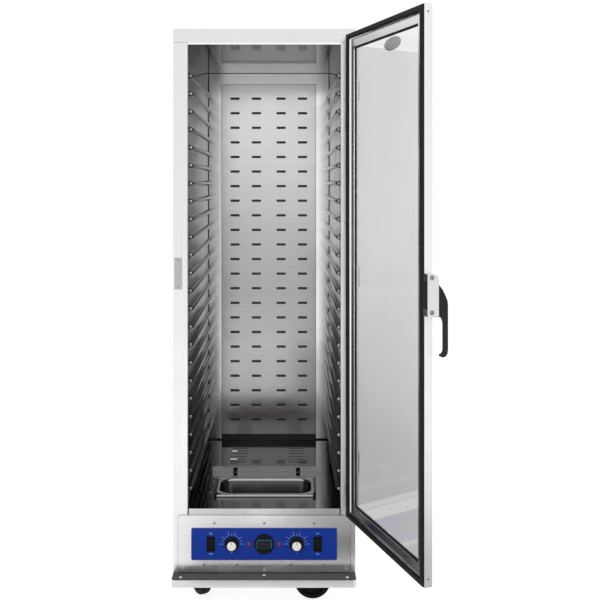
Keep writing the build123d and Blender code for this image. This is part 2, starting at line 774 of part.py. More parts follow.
def rocker(x):
    """Rocker paddle in its lower position, with a pivot hole."""
    side = Plane(origin=(x - ROCKER_W / 2, 0, 0), x_dir=(0, 1, 0), z_dir=(1, 0, 0))
    paddle = extrude(side * rocker_profile(ROCKER_R), ROCKER_W)
    paddle -= rod_x(0, 0, x - ROCKER_W, x + ROCKER_W, ROCKER_PIN_R + SHAFT_FIT)
    paddle = paddle.rotate(Axis.X, ROCKER_TURN / 2)
    return Pos(0, ROCKER_PIVOT_Y, CONTROL_Z) * paddle


def rocker_housing(x):
    """Switch body with a bezel, an open front and the rocker's pin."""
    y_face = LABEL_FACE_Y - ROCKER_BEZEL_T
    half_bw = ROCKER_BEZEL_W / 2
    half_bh = ROCKER_BEZEL_H / 2
    bezel = block(x - half_bw, x + half_bw, y_face, LABEL_FACE_Y, CONTROL_Z - half_bh, CONTROL_Z + half_bh)
    half_w = ROCKER_BODY_W / 2
    half_h = ROCKER_BODY_H / 2
    body = block(x - half_w, x + half_w, LABEL_FACE_Y, ROCKER_BODY_D, CONTROL_Z - half_h, CONTROL_Z + half_h)
    in_w = ROCKER_W / 2 + ROCKER_GAP
    in_h = ROCKER_R + ROCKER_GAP
    deep = ROCKER_PIVOT_Y + ROCKER_R * 0.5 + ROCKER_GAP + 2
    cavity = block(x - in_w, x + in_w, y_face - 1, deep, CONTROL_Z - in_h, CONTROL_Z + in_h)
    pin = rod_x(ROCKER_PIVOT_Y, CONTROL_Z, x - in_w, x + in_w, ROCKER_PIN_R)
    return bezel + body - cavity + pin


def lamp(x):
    """Indicator lamp: lens on a body that passes through the panel."""
    lens = bar_y(x, CONTROL_Z, LABEL_FACE_Y - LAMP_DOME, LABEL_FACE_Y, LAMP_R, 12)
    return lens + bar_y(x, CONTROL_Z, LABEL_FACE_Y, LAMP_BODY_L, LAMP_BODY_R, 6)


def make_controls():
    """Knobs, thermostats, rockers, lamps and the round thermometer."""
    save("left_knob", knob(-KNOB_X))
    save("right_knob", knob(KNOB_X))
    save("thermostats", thermostat(-KNOB_X), thermostat(KNOB_X))
    save("left_rocker", rocker(-ROCKER_X))
    save("right_rocker", rocker(ROCKER_X))
    save("switch_housings", rocker_housing(-ROCKER_X), rocker_housing(ROCKER_X))
    save("indicator_lamps", lamp(-LAMP_X), lamp(LAMP_X))

    y_face = LABEL_FACE_Y - DIAL_T
    bezel = bar_y(0, CONTROL_Z, y_face, LABEL_FACE_Y, DIAL_R, 24)
    bezel += bar_y(0, CONTROL_Z, LABEL_FACE_Y, DIAL_BODY_L, DIAL_BODY_R, 12)
    z0, z1 = CONTROL_Z - WINDOW_H / 2, CONTROL_Z + WINDOW_H / 2
    bezel -= block(-WINDOW_W / 2, WINDOW_W / 2, y_face, y_face + WINDOW_DEPTH, z0, z1)
    save("thermometer_body", bezel)
    w = WINDOW_W / 2 - WINDOW_GAP
    h = WINDOW_H / 2 - WINDOW_GAP
    y1 = y_face + WINDOW_DEPTH
    window = block(-w, w, y1 - WINDOW_DEPTH * 0.8, y1, CONTROL_Z - h, CONTROL_Z + h)
    save("thermometer_window", window)


# Door, modelled shut and then swung open about its hinge


def mitred_bars(profile_of):
    """Four bars round the door, cut at 45 degrees where they meet.

    profile_of() gives the section as points: how far inwards from the door's edge, and Y.
    """
    bars = []
    spans = ((0, DOOR_H, DOOR_W), (90, DOOR_W, DOOR_H), (180, DOOR_H, DOOR_W), (270, DOOR_W, DOOR_H))
    for turn, length, reach in spans:
        points = profile_of()
        outline = make_face(Polyline(*[(reach / 2 - u, y) for u, y in points], close=True))
        bar = extrude(Plane.XY * outline, length / 2, both=True)
        for s in (-1, 1):
            corner = (reach / 2, 0, s * length / 2)
            cutter = Plane(origin=corner, z_dir=(-1, 0, s))
            bar = split(bar, bisect_by=cutter, keep=Keep.BOTTOM)
        bars.append(Pos(DOOR_MID_X, 0, DOOR_MID_Z) * (Rot(0, turn, 0) * bar))
    return bars


def frame_profile():
    """Door rail section: gasket seat, bevel, flat face and the glass groove."""
    back = DOOR_BACK_Y
    step = back - STEP_DROP
    groove_front = DOOR_FACE_Y + GLASS_FRONT - SEAL_T - SEAL_CLEAR
    groove_back = groove_front + GLASS_T + 2 * (SEAL_T + SEAL_CLEAR)
    depth = RAIL_FACE - GLASS_BITE - SEAL_T - SEAL_CLEAR
    return [
        (0, DOOR_FACE_Y),
        (RAIL_FACE, DOOR_FACE_Y),
        (RAIL_FACE, groove_front),
        (depth, groove_front),
        (depth, groove_back),
        (RAIL_FACE, groove_back),
        (RAIL_FACE, step),
        (GASKET_SEAT + SEAT_BEVEL, step),
        (GASKET_SEAT, back),
        (0, back),
    ]


def seal_profile():
    """Glazing seal: a channel round the glass edge, with a lip that fills the recess."""
    y0 = DOOR_FACE_Y + GLASS_FRONT - SEAL_T - SEAL_CLEAR / 2
    y1 = DOOR_FACE_Y + GLASS_FRONT - SEAL_CLEAR / 2
    y2 = DOOR_FACE_Y + GLASS_FRONT + GLASS_T + SEAL_CLEAR / 2
    y3 = y2 + SEAL_T
    outer = RAIL_FACE - GLASS_BITE - SEAL_T - SEAL_CLEAR / 2
    inner = RAIL_FACE + SEAL_LIP
    return [
        (outer, y0),
        (inner, y0),
        (inner, y1),
        (outer + SEAL_T, y1),
        (outer + SEAL_T, y2),
        (inner, y2),
        (inner, y3),
        (outer, y3),
    ]


def gasket_profile():
    """Soft door gasket: a flat strip with bevelled edges."""
    y0, y1 = DOOR_BACK_Y, GASKET_FACE_Y
    bevel = GASKET_T / 3
    return [
        (GASKET_INSET, y0),
        (GASKET_INSET + GASKET_W, y0),
        (GASKET_INSET + GASKET_W, y1 - bevel),
        (GASKET_INSET + GASKET_W - bevel, y1),
        (GASKET_INSET + bevel, y1),
        (GASKET_INSET, y1 - bevel),
    ]


def swing(shape):
    """Swing a door piece from shut to the open pose of rest."""
    return shape.rotate(Axis((HINGE_X, HINGE_Y, 0), (0, 0, 1)), DOOR_OPEN)


def knuckle_notch(z):
    """Space that the door frame leaves round one hinge barrel."""
    top = z + KNUCKLE_L + KNUCKLE_GAP + HINGE_PIN_HEAD_H + KNUCKLE_CLEAR
    return bar_z(HINGE_X, HINGE_Y, z - KNUCKLE_L - KNUCKLE_CLEAR, top, KNUCKLE_R + KNUCKLE_CLEAR, 12)


def casing_leaf(z):
    """Casing half of a hinge: a leaf on the casing's side and the lower knuckle."""
    z0, z1 = z - KNUCKLE_L, z - KNUCKLE_GAP / 2
    y1 = HINGE_Y + LEAF_FREE + LEAF_L + 12
    x0 = HALF_W
    leaf = block(x0, x0 + LEAF_T, HINGE_Y + LEAF_FREE, y1, z0, z + KNUCKLE_L)
    link = block(x0 - 0.5, x0 + LEAF_T, HINGE_Y, HINGE_Y + LEAF_FREE, z0, z1)
    knuckle = bar_z(HINGE_X, HINGE_Y, z0, z1, KNUCKLE_R, 12)
    bridge = block(HINGE_X, x0 + LEAF_T, HINGE_Y, HINGE_Y + LEAF_T, z0, z1)
    body = leaf + link + knuckle + bridge
    body -= rod(HINGE_X, HINGE_Y, z0 - 1, z1 + 1, HINGE_PIN_R + HINGE_PIN_FIT)
    return body


def door_leaf(z):
    """Door half of a hinge: a leaf on the door's face and the upper knuckle."""
    z0, z1 = z + KNUCKLE_GAP / 2, z + KNUCKLE_L
    x1 = HINGE_X - LEAF_FREE
    y0 = DOOR_FACE_Y - LEAF_T
    leaf = block(x1 - LEAF_L, x1, y0, DOOR_FACE_Y, z - KNUCKLE_L, z1)
    link = block(x1, HINGE_X, y0, y0 + LEAF_T, z0, z1)
    knuckle = bar_z(HINGE_X, HINGE_Y, z0, z1, KNUCKLE_R, 12)
    body = leaf + link + knuckle
    return body - rod(HINGE_X, HINGE_Y, z0 - 1, z1 + 1, HINGE_PIN_R + HINGE_PIN_FIT)


def hinge_pin(z):
    """Hinge pin with a head that rests on the upper knuckle."""
    top = z + KNUCKLE_L + KNUCKLE_GAP
    pin = rod(HINGE_X, HINGE_Y, z - KNUCKLE_L, top, HINGE_PIN_R)
    return pin + bar_z(HINGE_X, HINGE_Y, top, top + HINGE_PIN_HEAD_H, HINGE_PIN_HEAD_R, 8)


def make_door():
    """Door frame, glass, seal, gasket, blank badge and screws."""
    bars = mitred_bars(frame_profile)
    hinge_bar = max(range(len(bars)), key=lambda i: bars[i].center().X)
    for z in HINGE_ZS:
        bars[hinge_bar] -= knuckle_notch(z)
    save("door_frame", *[swing(b) for b in bars])

    cover = RAIL_FACE - GLASS_BITE
    glass = block(
        DOOR_FREE_X + cover,
        DOOR_EDGE_X - cover,
        DOOR_FACE_Y + GLASS_FRONT,
        DOOR_FACE_Y + GLASS_FRONT + GLASS_T,
        DOOR_BOTTOM_Z + cover,
        DOOR_TOP_Z - cover,
    )
    save("door_glass", swing(glass))
    save("glazing_seal", *[swing(b) for b in mitred_bars(seal_profile)])
    save("door_gasket", *[swing(b) for b in mitred_bars(gasket_profile)])

    badge = extrude(Ellipse(BADGE_W / 2, BADGE_H / 2), BADGE_T)
    y = DOOR_FACE_Y + GLASS_FRONT - TOUCH_GAP
    badge = Pos(DOOR_EDGE_X - BADGE_FROM_HINGE, y, BADGE_Z) * (Rot(90, 0, 0) * badge)
    save("badge_plate", swing(badge))


def latch_offset(y):
    """Distance of a plane y from the door's outer face."""
    return DOOR_FACE_Y + y


def latch_side_outline():
    """Side view of the latch housing: square at the door, rounded at the top front."""
    y0, y1 = latch_offset(-LATCH_FRONT), latch_offset(LATCH_BACK)
    z0, z1 = LATCH_Z - LATCH_H / 2, LATCH_Z + LATCH_H / 2
    outline = Polyline((y0, z0), (y1, z0), (y1, z1), (y0, z1), close=True)
    face = make_face(outline)
    corner = face.vertices().sort_by_distance(Vertex(y0, z1, 0))[0]
    return fillet(corner, LATCH_CORNER_R)


def make_latch():
    """Magnetic edge latch: housing, magnet block and pull lever."""
    x1 = DOOR_FREE_X - LATCH_GAP
    x0 = x1 - LATCH_W
    plane = Plane(origin=(x0, 0, 0), x_dir=(0, 1, 0), z_dir=(1, 0, 0))
    housing = extrude(plane * latch_side_outline(), LATCH_W)
    half_slot = LEVER_W / 2 + TOUCH_GAP
    y_front = latch_offset(-LATCH_FRONT) - 1
    slot_back = latch_offset(LEVER_ROOM)
    slot_z0 = LATCH_Z - LATCH_H / 2 - 1
    housing -= block(LEVER_X - half_slot, LEVER_X + half_slot, y_front, slot_back, slot_z0, LEVER_SLOT_TOP_Z)
    pivot_y = latch_offset(LEVER_PIVOT_Y)
    housing += rod_x(pivot_y, LEVER_PIVOT_Z, x0, x1, LEVER_PIVOT_R)

    y0, y1 = latch_offset(MAGNET_SEAT), latch_offset(MAGNET_FACE)
    half_w = MAGNET_W / 2
    half_h = MAGNET_H / 2
    seat_w, seat_h = half_w + TOUCH_GAP, half_h + TOUCH_GAP
    housing -= block(LEVER_X - seat_w, LEVER_X + seat_w, y0, y1, STRIKE_Z - seat_h, STRIKE_Z + seat_h)
    save("latch_housing", swing(housing))
    magnet = block(LEVER_X - half_w, LEVER_X + half_w, y0, y1, STRIKE_Z - half_h, STRIKE_Z + half_h)
    save("latch_magnet", swing(magnet))

    save("latch_lever", swing(latch_lever(pivot_y)))

    strike = block(
        STRIKE_X - STRIKE_W / 2,
        STRIKE_X + STRIKE_W / 2,
        -STRIKE_T,
        0,
        STRIKE_Z - STRIKE_H / 2,
        STRIKE_Z + STRIKE_H / 2,
    )
    save("strike_plate", strike)


def latch_lever(pivot_y):
    """Pull lever: webbed shoulder on the pivot, straight grip and curled tip."""
    outline = make_face(Polyline(*[(latch_offset(y), z) for y, z in LEVER_SIDE], close=True))
    plane = Plane(origin=(LEVER_X - LEVER_W / 2, 0, 0), x_dir=(0, 1, 0), z_dir=(1, 0, 0))
    lever = extrude(plane * outline, LEVER_W)
    bore_r = LEVER_PIVOT_R + LEVER_PIVOT_FIT
    return lever - rod_x(pivot_y, LEVER_PIVOT_Z, LEVER_X - LEVER_W, LEVER_X + LEVER_W, bore_r)


def make_hinges():
    """Three lift-off hinges."""
    save("hinge_casing_leaves", *[casing_leaf(z) for z in HINGE_ZS])
    save("hinge_door_leaves", *[swing(door_leaf(z)) for z in HINGE_ZS])
    save("hinge_pins", *[hinge_pin(z) for z in HINGE_ZS])


def make_screws():
    """Screw heads of the control panel, strike plate, ledge and cavity floor."""
    front = [(x, PANEL_FACE_Y, z, SCREW_HEAD_R, SCREW_HEAD_H) for x, z in panel_screw_spots()]
    front += [(x, -STRIKE_T, z, SCREW_HEAD_R, STRIKE_HEAD_H) for x, z in strike_screw_spots()]
    up = [(x, y, CASE_BASE_Z, LEDGE_SCREW_R, LEDGE_SCREW_H) for x, y in ledge_screw_spots()]
    up += [(x, y, FLOOR_Z, SCREW_HEAD_R, SCREW_HEAD_H) for x, y in floor_screw_spots()]
    up += [(x, y, FLOOR_Z + SHEET, SCREW_HEAD_R, SCREW_HEAD_H) for x, y in clip_screw_spots()]
    heads = [screw_head(*spot, "front") for spot in front]
    heads += [screw_head(*spot, "up") for spot in up]
    save("casing_screws", *heads)


# Casters


def fork(yaw, x, y):
    """Caster fork with its swivel crown and fixed axle, trailing along local +X."""
    inner = WHEEL_W / 2 + FORK_SIDE_GAP
    half_top = FORK_LEG_TOP / 2
    crown_top = CROWN_Z + FORK_T
    crown = block(-half_top, half_top, -inner - FORK_T, inner + FORK_T, CROWN_Z, crown_top)
    race_top = PLATE_TOP_Z - PLATE_T - RACE_GAP - RACE_H
    body = crown + bar_z(0, 0, CROWN_Z, race_top, RACE_R, 12)
    top = Polyline(
        (-half_top, crown_top),
        (half_top, crown_top),
        (CASTER_TRAIL + FORK_LEG_LOW_R, WHEEL_R),
        (CASTER_TRAIL + FORK_LEG_LOW_R / 2, WHEEL_R - FORK_LEG_LOW_R),
        (CASTER_TRAIL - FORK_LEG_LOW_R / 2, WHEEL_R - FORK_LEG_LOW_R),
        (CASTER_TRAIL - FORK_LEG_LOW_R, WHEEL_R),
        close=True,
    )
    leg = extrude(Plane.XZ * make_face(top), FORK_T)
    body += Pos(0, -inner, 0) * leg
    body += Pos(0, inner + FORK_T, 0) * leg
    body -= rod(0, 0, CROWN_Z - 1, race_top + 1, KINGPIN_R + KINGPIN_FIT)
    reach = inner + FORK_T
    body += rod_y(CASTER_TRAIL, WHEEL_R, -reach, reach, AXLE_R)
    return Pos(x, y, 0) * (Rot(0, 0, yaw) * body)


def wheel(yaw, x, y):
    """Wheel: moulded hub and a crowned tyre round it, as two solids."""
    hub = extrude(RegularPolygon(WHEEL_HUB_R, WHEEL_SIDES), WHEEL_W / 2 - WHEEL_HUB_INSET, both=True)
    hub += extrude(RegularPolygon(FORK_LEG_LOW_R, 8), WHEEL_W / 2, both=True)
    hub -= Cylinder(AXLE_R + AXLE_FIT, WHEEL_W * 2)
    tyre = extrude(RegularPolygon(WHEEL_R, WHEEL_SIDES), WHEEL_W / 2, both=True)
    tyre -= extrude(RegularPolygon(WHEEL_HUB_R + TYRE_FIT, WHEEL_SIDES), WHEEL_W, both=True)
    place = Pos(x, y, 0) * Rot(0, 0, yaw) * Pos(CASTER_TRAIL, 0, WHEEL_R) * Rot(90, 0, 0)
    return place * hub, place * tyre


def caster_plate(x, y):
    """Top plate with the upper race and the kingpin."""
    z0 = PLATE_TOP_Z - PLATE_T
    plate = block(x - PLATE_L / 2, x + PLATE_L / 2, y - PLATE_W / 2, y + PLATE_W / 2, z0, PLATE_TOP_Z)
    for sx in (-1, 1):
        for sy in (-1, 1):
            plate -= bolt_neck(x + sx * BOLT_X / 2, y + sy * BOLT_Y / 2, z0 - 1, PLATE_TOP_Z + 1, BOLT_FIT)
    race = bar_z(x, y, z0 - RACE_H, z0, RACE_R, 12)
    pin = rod(x, y, CROWN_Z - RACE_GAP - KINGPIN_HEAD_H, z0, KINGPIN_R)
    head = bar_z(x, y, CROWN_Z - RACE_GAP - KINGPIN_HEAD_H, CROWN_Z - RACE_GAP, KINGPIN_HEAD_R, 8)
    return plate + race + pin + head


def bolt(x, y):
    """Caster bolt: hexagon head under the plate and a square neck up through the rail."""
    z0 = PLATE_TOP_Z - PLATE_T
    head = bar_z(x, y, z0 - BOLT_HEAD_H, z0, BOLT_HEAD_R, 6)
    return head + bolt_neck(x, y, z0 - 1, RAIL_FLOOR_Z + BOLT_HEAD_H)


def make_casters():
    """Four swivel casters with their plates and bolts."""
    for name, (x, y) in CASTER_SPOTS.items():
        yaw = CASTER_YAWS[name]
        save(f"{name}_fork", fork(yaw, x, y))
        save(f"{name}_wheel", *wheel(yaw, x, y))
    save("caster_plates", *[caster_plate(x, y) for x, y in CASTER_SPOTS.values()])
    save("caster_bolts", *[bolt(x, y) for x, y in caster_bolt_spots()])


# Blower and electrics


def scroll(grow):
    """Round blower casing with a rear outlet that turns up to the duct."""
    r = SCROLL_R - grow
    z0, z1 = SCROLL_Z + grow, SCROLL_Z + SCROLL_H - grow
    drum = bar_z(0, BLOWER_Y, z0, z1, r, 16)
    x1 = SCROLL_R - grow
    x0 = SCROLL_R - OUTLET_W + grow
    y_end = CAVITY_D - TOUCH_GAP - grow
    outlet = block(x0, x1, BLOWER_Y, y_end, z0, z1)
    riser_y = FLOOR_REAR_Y + TOUCH_GAP + grow
    riser = block(x0, x1, riser_y, y_end, z0, UNDERFLOOR_Z if grow == 0 else FLOOR_Z)
    return drum + outlet + riser


def make_blower():
    """Blower housing, fan wheel and motor."""
    housing = scroll(0) - scroll(SHEET)
    top_z = SCROLL_Z + SCROLL_H
    housing -= bar_z(0, BLOWER_Y, top_z - 3 * SHEET, top_z + 1, BLOWER_INLET_R, 12)
    housing -= bar_z(0, BLOWER_Y, SCROLL_Z - 1, SCROLL_Z + 3 * SHEET, MOTOR_SHAFT_R * 2, 8)
    save("blower_housing", housing)

    z0 = SCROLL_Z + SHEET + 4
    hub = bar_z(0, BLOWER_Y, z0, z0 + FAN_H * 0.6, FAN_HUB_R, 8)
    disc = bar_z(0, BLOWER_Y, z0, z0 + FAN_DISC_T, FAN_R, 16)
    ring_z = z0 + FAN_H
    ring = bar_z(0, BLOWER_Y, ring_z, ring_z + FAN_DISC_T, FAN_R, 16)
    ring -= bar_z(0, BLOWER_Y, ring_z - 1, ring_z + FAN_DISC_T + 1, FAN_R - FAN_BLADE_L, 16)
    wheel_body = hub + disc + ring
    flat = Rot(0, 0, FAN_BLADE_TURN) * Box(FAN_BLADE_L, FAN_BLADE_T, FAN_H)
    blade = Pos(FAN_R - FAN_BLADE_L / 2 - FAN_DISC_T, 0, 0) * flat
    middle = Pos(0, BLOWER_Y, z0 + (FAN_H + FAN_DISC_T) / 2)
    for i in range(FAN_BLADES):
        wheel_body += middle * (Rot(0, 0, 360.0 * i / FAN_BLADES) * blade)
    wheel_body -= rod(0, BLOWER_Y, z0 - 1, z0 + FAN_H, MOTOR_SHAFT_R + MOTOR_SHAFT_FIT)
    save("fan_wheel", wheel_body)

    motor = bar_z(0, BLOWER_Y, RAIL_FLOOR_Z, SCROLL_Z, MOTOR_R, 16)
    motor += rod(0, BLOWER_Y, SCROLL_Z, SCROLL_Z + MOTOR_SHAFT_OUT, MOTOR_SHAFT_R)
    save("blower_motor", motor)


def make_heater():
    """Open ring air heater over the blower inlet."""
    z0 = SCROLL_Z + SCROLL_H + TOUCH_GAP
    z1 = z0 + 2 * HEATER_TUBE_R
    ring = bar_z(0, BLOWER_Y, z0, z1, HEATER_RING_R + HEATER_TUBE_R, 16)
    ring -= bar_z(0, BLOWER_Y, z0, z1, HEATER_RING_R - HEATER_TUBE_R, 16)
    y0 = BLOWER_Y - HEATER_GAP / 2
    save("air_heater", ring - block(0, 2 * HEATER_RING_R, y0, y0 + HEATER_GAP, z0, z1))


def make_electrics():
    """Terminal block and the cord gland on the back."""
    z0 = RAIL_FLOOR_Z
    x0, x1 = TERMINAL_X - TERMINAL_W / 2, TERMINAL_X + TERMINAL_W / 2
    ya, yb = TERMINAL_Y - TERMINAL_L / 2, TERMINAL_Y + TERMINAL_L / 2
    save("terminal_block", block(x0, x1, ya, yb, z0, z0 + TERMINAL_H))

    y0 = CASE_D - SHEET - TOUCH_GAP
    gland = bar_y(GLAND_X, GLAND_Z, y0 - GLAND_IN, y0 + GLAND_OUT, GLAND_R, 12)
    gland += bar_y(GLAND_X, GLAND_Z, y0, y0 + GLAND_FLANGE_T, GLAND_FLANGE_R, 8)
    gland -= rod_y(GLAND_X, GLAND_Z, y0 - GLAND_IN - 1, y0 + GLAND_OUT + 1, GLAND_BORE_R)
    save("cord_gland", gland)


make_casing()
make_cavity()
make_duct()
make_floor()
make_pan()
make_guard()
make_base()
make_panel()
make_controls()
make_door()
make_latch()
make_hinges()
make_screws()
make_casters()
make_blower()
make_heater()
make_electrics()
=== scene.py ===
"""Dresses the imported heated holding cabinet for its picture, in metres and in the frame of the CAD model."""

import json
import logging
import math
from dataclasses import dataclass, field
from enum import Enum
from typing import Sequence

import bmesh
import bpy
from mathutils import Matrix, Vector


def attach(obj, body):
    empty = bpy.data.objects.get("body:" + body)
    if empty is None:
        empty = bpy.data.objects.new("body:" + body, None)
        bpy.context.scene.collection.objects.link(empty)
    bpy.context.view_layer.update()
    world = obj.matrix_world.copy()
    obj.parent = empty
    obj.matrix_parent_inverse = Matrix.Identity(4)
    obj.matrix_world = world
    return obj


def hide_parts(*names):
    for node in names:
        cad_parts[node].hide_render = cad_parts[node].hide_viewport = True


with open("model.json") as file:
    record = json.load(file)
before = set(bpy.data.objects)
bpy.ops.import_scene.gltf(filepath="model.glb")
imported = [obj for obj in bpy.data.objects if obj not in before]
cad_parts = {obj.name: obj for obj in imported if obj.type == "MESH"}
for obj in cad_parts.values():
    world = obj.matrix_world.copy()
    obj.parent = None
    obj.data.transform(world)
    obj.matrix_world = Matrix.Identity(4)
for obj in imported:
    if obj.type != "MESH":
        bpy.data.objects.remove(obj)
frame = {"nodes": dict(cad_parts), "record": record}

LOG = logging.getLogger("cabinet")
MM = 0.001
Colour = tuple[float, float, float]
Point = tuple[float, float, float]
Outline = Sequence[tuple[float, float]]
UPWARDS: Point = (0.0, 0.0, 1.0)
DOWNWARDS: Point = (0.0, 0.0, -1.0)
FORWARDS: Point = (0.0, -1.0, 0.0)
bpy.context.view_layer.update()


class Grain(Enum):
    """Direction in which a sheet is brushed, as the stretch of its streaks."""

    ALONG_X = (3.0, 900.0, 900.0)
    ALONG_Y = (900.0, 3.0, 900.0)
    ALONG_Z = (900.0, 900.0, 3.0)


class Facing(Enum):
    """Way a small round piece looks out of the surface that it sits on."""

    FRONT = "front"
    UP = "up"


@dataclass(frozen=True)
class FootShade:
    """Painted shade: darkening towards the foot of a tall piece, between two heights in metres."""

    foot: float
    head: float
    share: float


# Shader groups


class ShaderGroups:
    """Shader node groups that several finishes share. Each is built once."""

    @staticmethod
    def _new(name: str, inputs: Sequence[tuple[str, str, object]], outputs: Sequence[tuple[str, str]]) -> tuple:
        """Make an empty group.

        Args:
            name: the group's name.
            inputs: socket name, socket type and default value of each input.
            outputs: socket name and socket type of each output.

        Returns:
            The group, its input node and its output node.
        """
        group = bpy.data.node_groups.new(name, "ShaderNodeTree")
        for label, kind, default in inputs:
            socket = group.interface.new_socket(name=label, in_out="INPUT", socket_type=kind)
            if default is not None:
                socket.default_value = default
        for label, kind in outputs:
            group.interface.new_socket(name=label, in_out="OUTPUT", socket_type=kind)
        return group, group.nodes.new("NodeGroupInput"), group.nodes.new("NodeGroupOutput")
    @staticmethod
    def _spread(
        group: bpy.types.ShaderNodeTree, value: bpy.types.NodeSocket, low: float, high: float
    ) -> bpy.types.NodeSocket:
        """Stretch the part of a value between two limits to the full run from 0 to 1.

        Args:
            group: the group that the step goes into.
            value: the value's socket.
            low: value that becomes 0.
            high: value that becomes 1.

        Returns:
            The stretched value's socket.
        """
        spread = group.nodes.new("ShaderNodeMapRange")
        spread.inputs["From Min"].default_value = low
        spread.inputs["From Max"].default_value = high
        group.links.new(value, spread.inputs["Value"])
        return spread.outputs["Result"]

    @classmethod
    def brushing(cls) -> bpy.types.ShaderNodeTree:
        """Fine streaks of a brushed sheet.

        Returns:
            The group, with a streak mask and a height.
        """
        name = "brushing"
        if name in bpy.data.node_groups:
            return bpy.data.node_groups[name]
        group, start, end = cls._new(
            name,
            [("Vector", "NodeSocketVector", None), ("Stretch", "NodeSocketVector", (1.0, 1.0, 1.0))],
            [("Streak", "NodeSocketFloat"), ("Height", "NodeSocketFloat")],
        )
        scaled = group.nodes.new("ShaderNodeVectorMath")
        scaled.operation = "MULTIPLY"
        group.links.new(start.outputs["Vector"], scaled.inputs[0])
        group.links.new(start.outputs["Stretch"], scaled.inputs[1])
        noise = group.nodes.new("ShaderNodeTexNoise")
        noise.inputs["Scale"].default_value = 1.0
        noise.inputs["Detail"].default_value = 3.0
        group.links.new(scaled.outputs[0], noise.inputs["Vector"])
        group.links.new(cls._spread(group, noise.outputs["Fac"], 0.3, 0.7), end.inputs["Streak"])
        group.links.new(noise.outputs["Fac"], end.inputs["Height"])
        return group

    @classmethod
    def clouding(cls) -> bpy.types.ShaderNodeTree:
        """Soft uneven patches left by rolling, wiping and handling.

        Returns:
            The group, with a patch mask.
        """
        name = "clouding"
        if name in bpy.data.node_groups:
            return bpy.data.node_groups[name]
        group, start, end = cls._new(
            name,
            [("Vector", "NodeSocketVector", None), ("Scale", "NodeSocketFloat", 4.0)],
            [("Patch", "NodeSocketFloat")],
        )
        noise = group.nodes.new("ShaderNodeTexNoise")
        noise.inputs["Detail"].default_value = 4.0
        noise.inputs["Roughness"].default_value = 0.55
        noise.inputs["Distortion"].default_value = 0.4
        group.links.new(start.outputs["Vector"], noise.inputs["Vector"])
        group.links.new(start.outputs["Scale"], noise.inputs["Scale"])
        group.links.new(cls._spread(group, noise.outputs["Fac"], 0.35, 0.65), end.inputs["Patch"])
        return group

    @classmethod
    def pebbling(cls) -> bpy.types.ShaderNodeTree:
        """Fine moulded grain of plastic and rubber.

        Returns:
            The group, with a height and a scuff mask.
        """
        name = "pebbling"
        if name in bpy.data.node_groups:
            return bpy.data.node_groups[name]
        group, start, end = cls._new(
            name,
            [("Vector", "NodeSocketVector", None), ("Scale", "NodeSocketFloat", 1500.0)],
            [("Height", "NodeSocketFloat"), ("Scuff", "NodeSocketFloat")],
        )
        cells = group.nodes.new("ShaderNodeTexVoronoi")
        group.links.new(start.outputs["Vector"], cells.inputs["Vector"])
        group.links.new(start.outputs["Scale"], cells.inputs["Scale"])
        group.links.new(cells.outputs["Distance"], end.inputs["Height"])
        rub = group.nodes.new("ShaderNodeTexNoise")
        rub.inputs["Scale"].default_value = 60.0
        rub.inputs["Detail"].default_value = 5.0
        group.links.new(start.outputs["Vector"], rub.inputs["Vector"])
        group.links.new(cls._spread(group, rub.outputs["Fac"], 0.55, 0.8), end.inputs["Scuff"])
        return group

    @classmethod
    def fading(cls) -> bpy.types.ShaderNodeTree:
        """Painted shade: darkening towards the foot of a tall piece.

        Returns:
            The group, with the darkened colour.
        """
        name = "fading"
        if name in bpy.data.node_groups:
            return bpy.data.node_groups[name]
        group, start, end = cls._new(
            name,
            [
                ("Vector", "NodeSocketVector", None),
                ("Colour", "NodeSocketColor", None),
                ("Foot", "NodeSocketFloat", 0.0),
                ("Head", "NodeSocketFloat", 1.0),
                ("Share", "NodeSocketFloat", 1.0),
            ],
            [("Colour", "NodeSocketColor")],
        )
        split = group.nodes.new("ShaderNodeSeparateXYZ")
        group.links.new(start.outputs["Vector"], split.inputs[0])
        span = group.nodes.new("ShaderNodeMapRange")
        span.interpolation_type = "SMOOTHSTEP"
        span.inputs["To Max"].default_value = 1.0
        group.links.new(split.outputs["Z"], span.inputs["Value"])
        for label, limit in (("Foot", "From Min"), ("Head", "From Max"), ("Share", "To Min")):
            group.links.new(start.outputs[label], span.inputs[limit])
        scaled = group.nodes.new("ShaderNodeVectorMath")
        scaled.operation = "SCALE"
        group.links.new(start.outputs["Colour"], scaled.inputs[0])
        group.links.new(span.outputs["Result"], scaled.inputs["Scale"])
        group.links.new(scaled.outputs[0], end.inputs["Colour"])
        return group


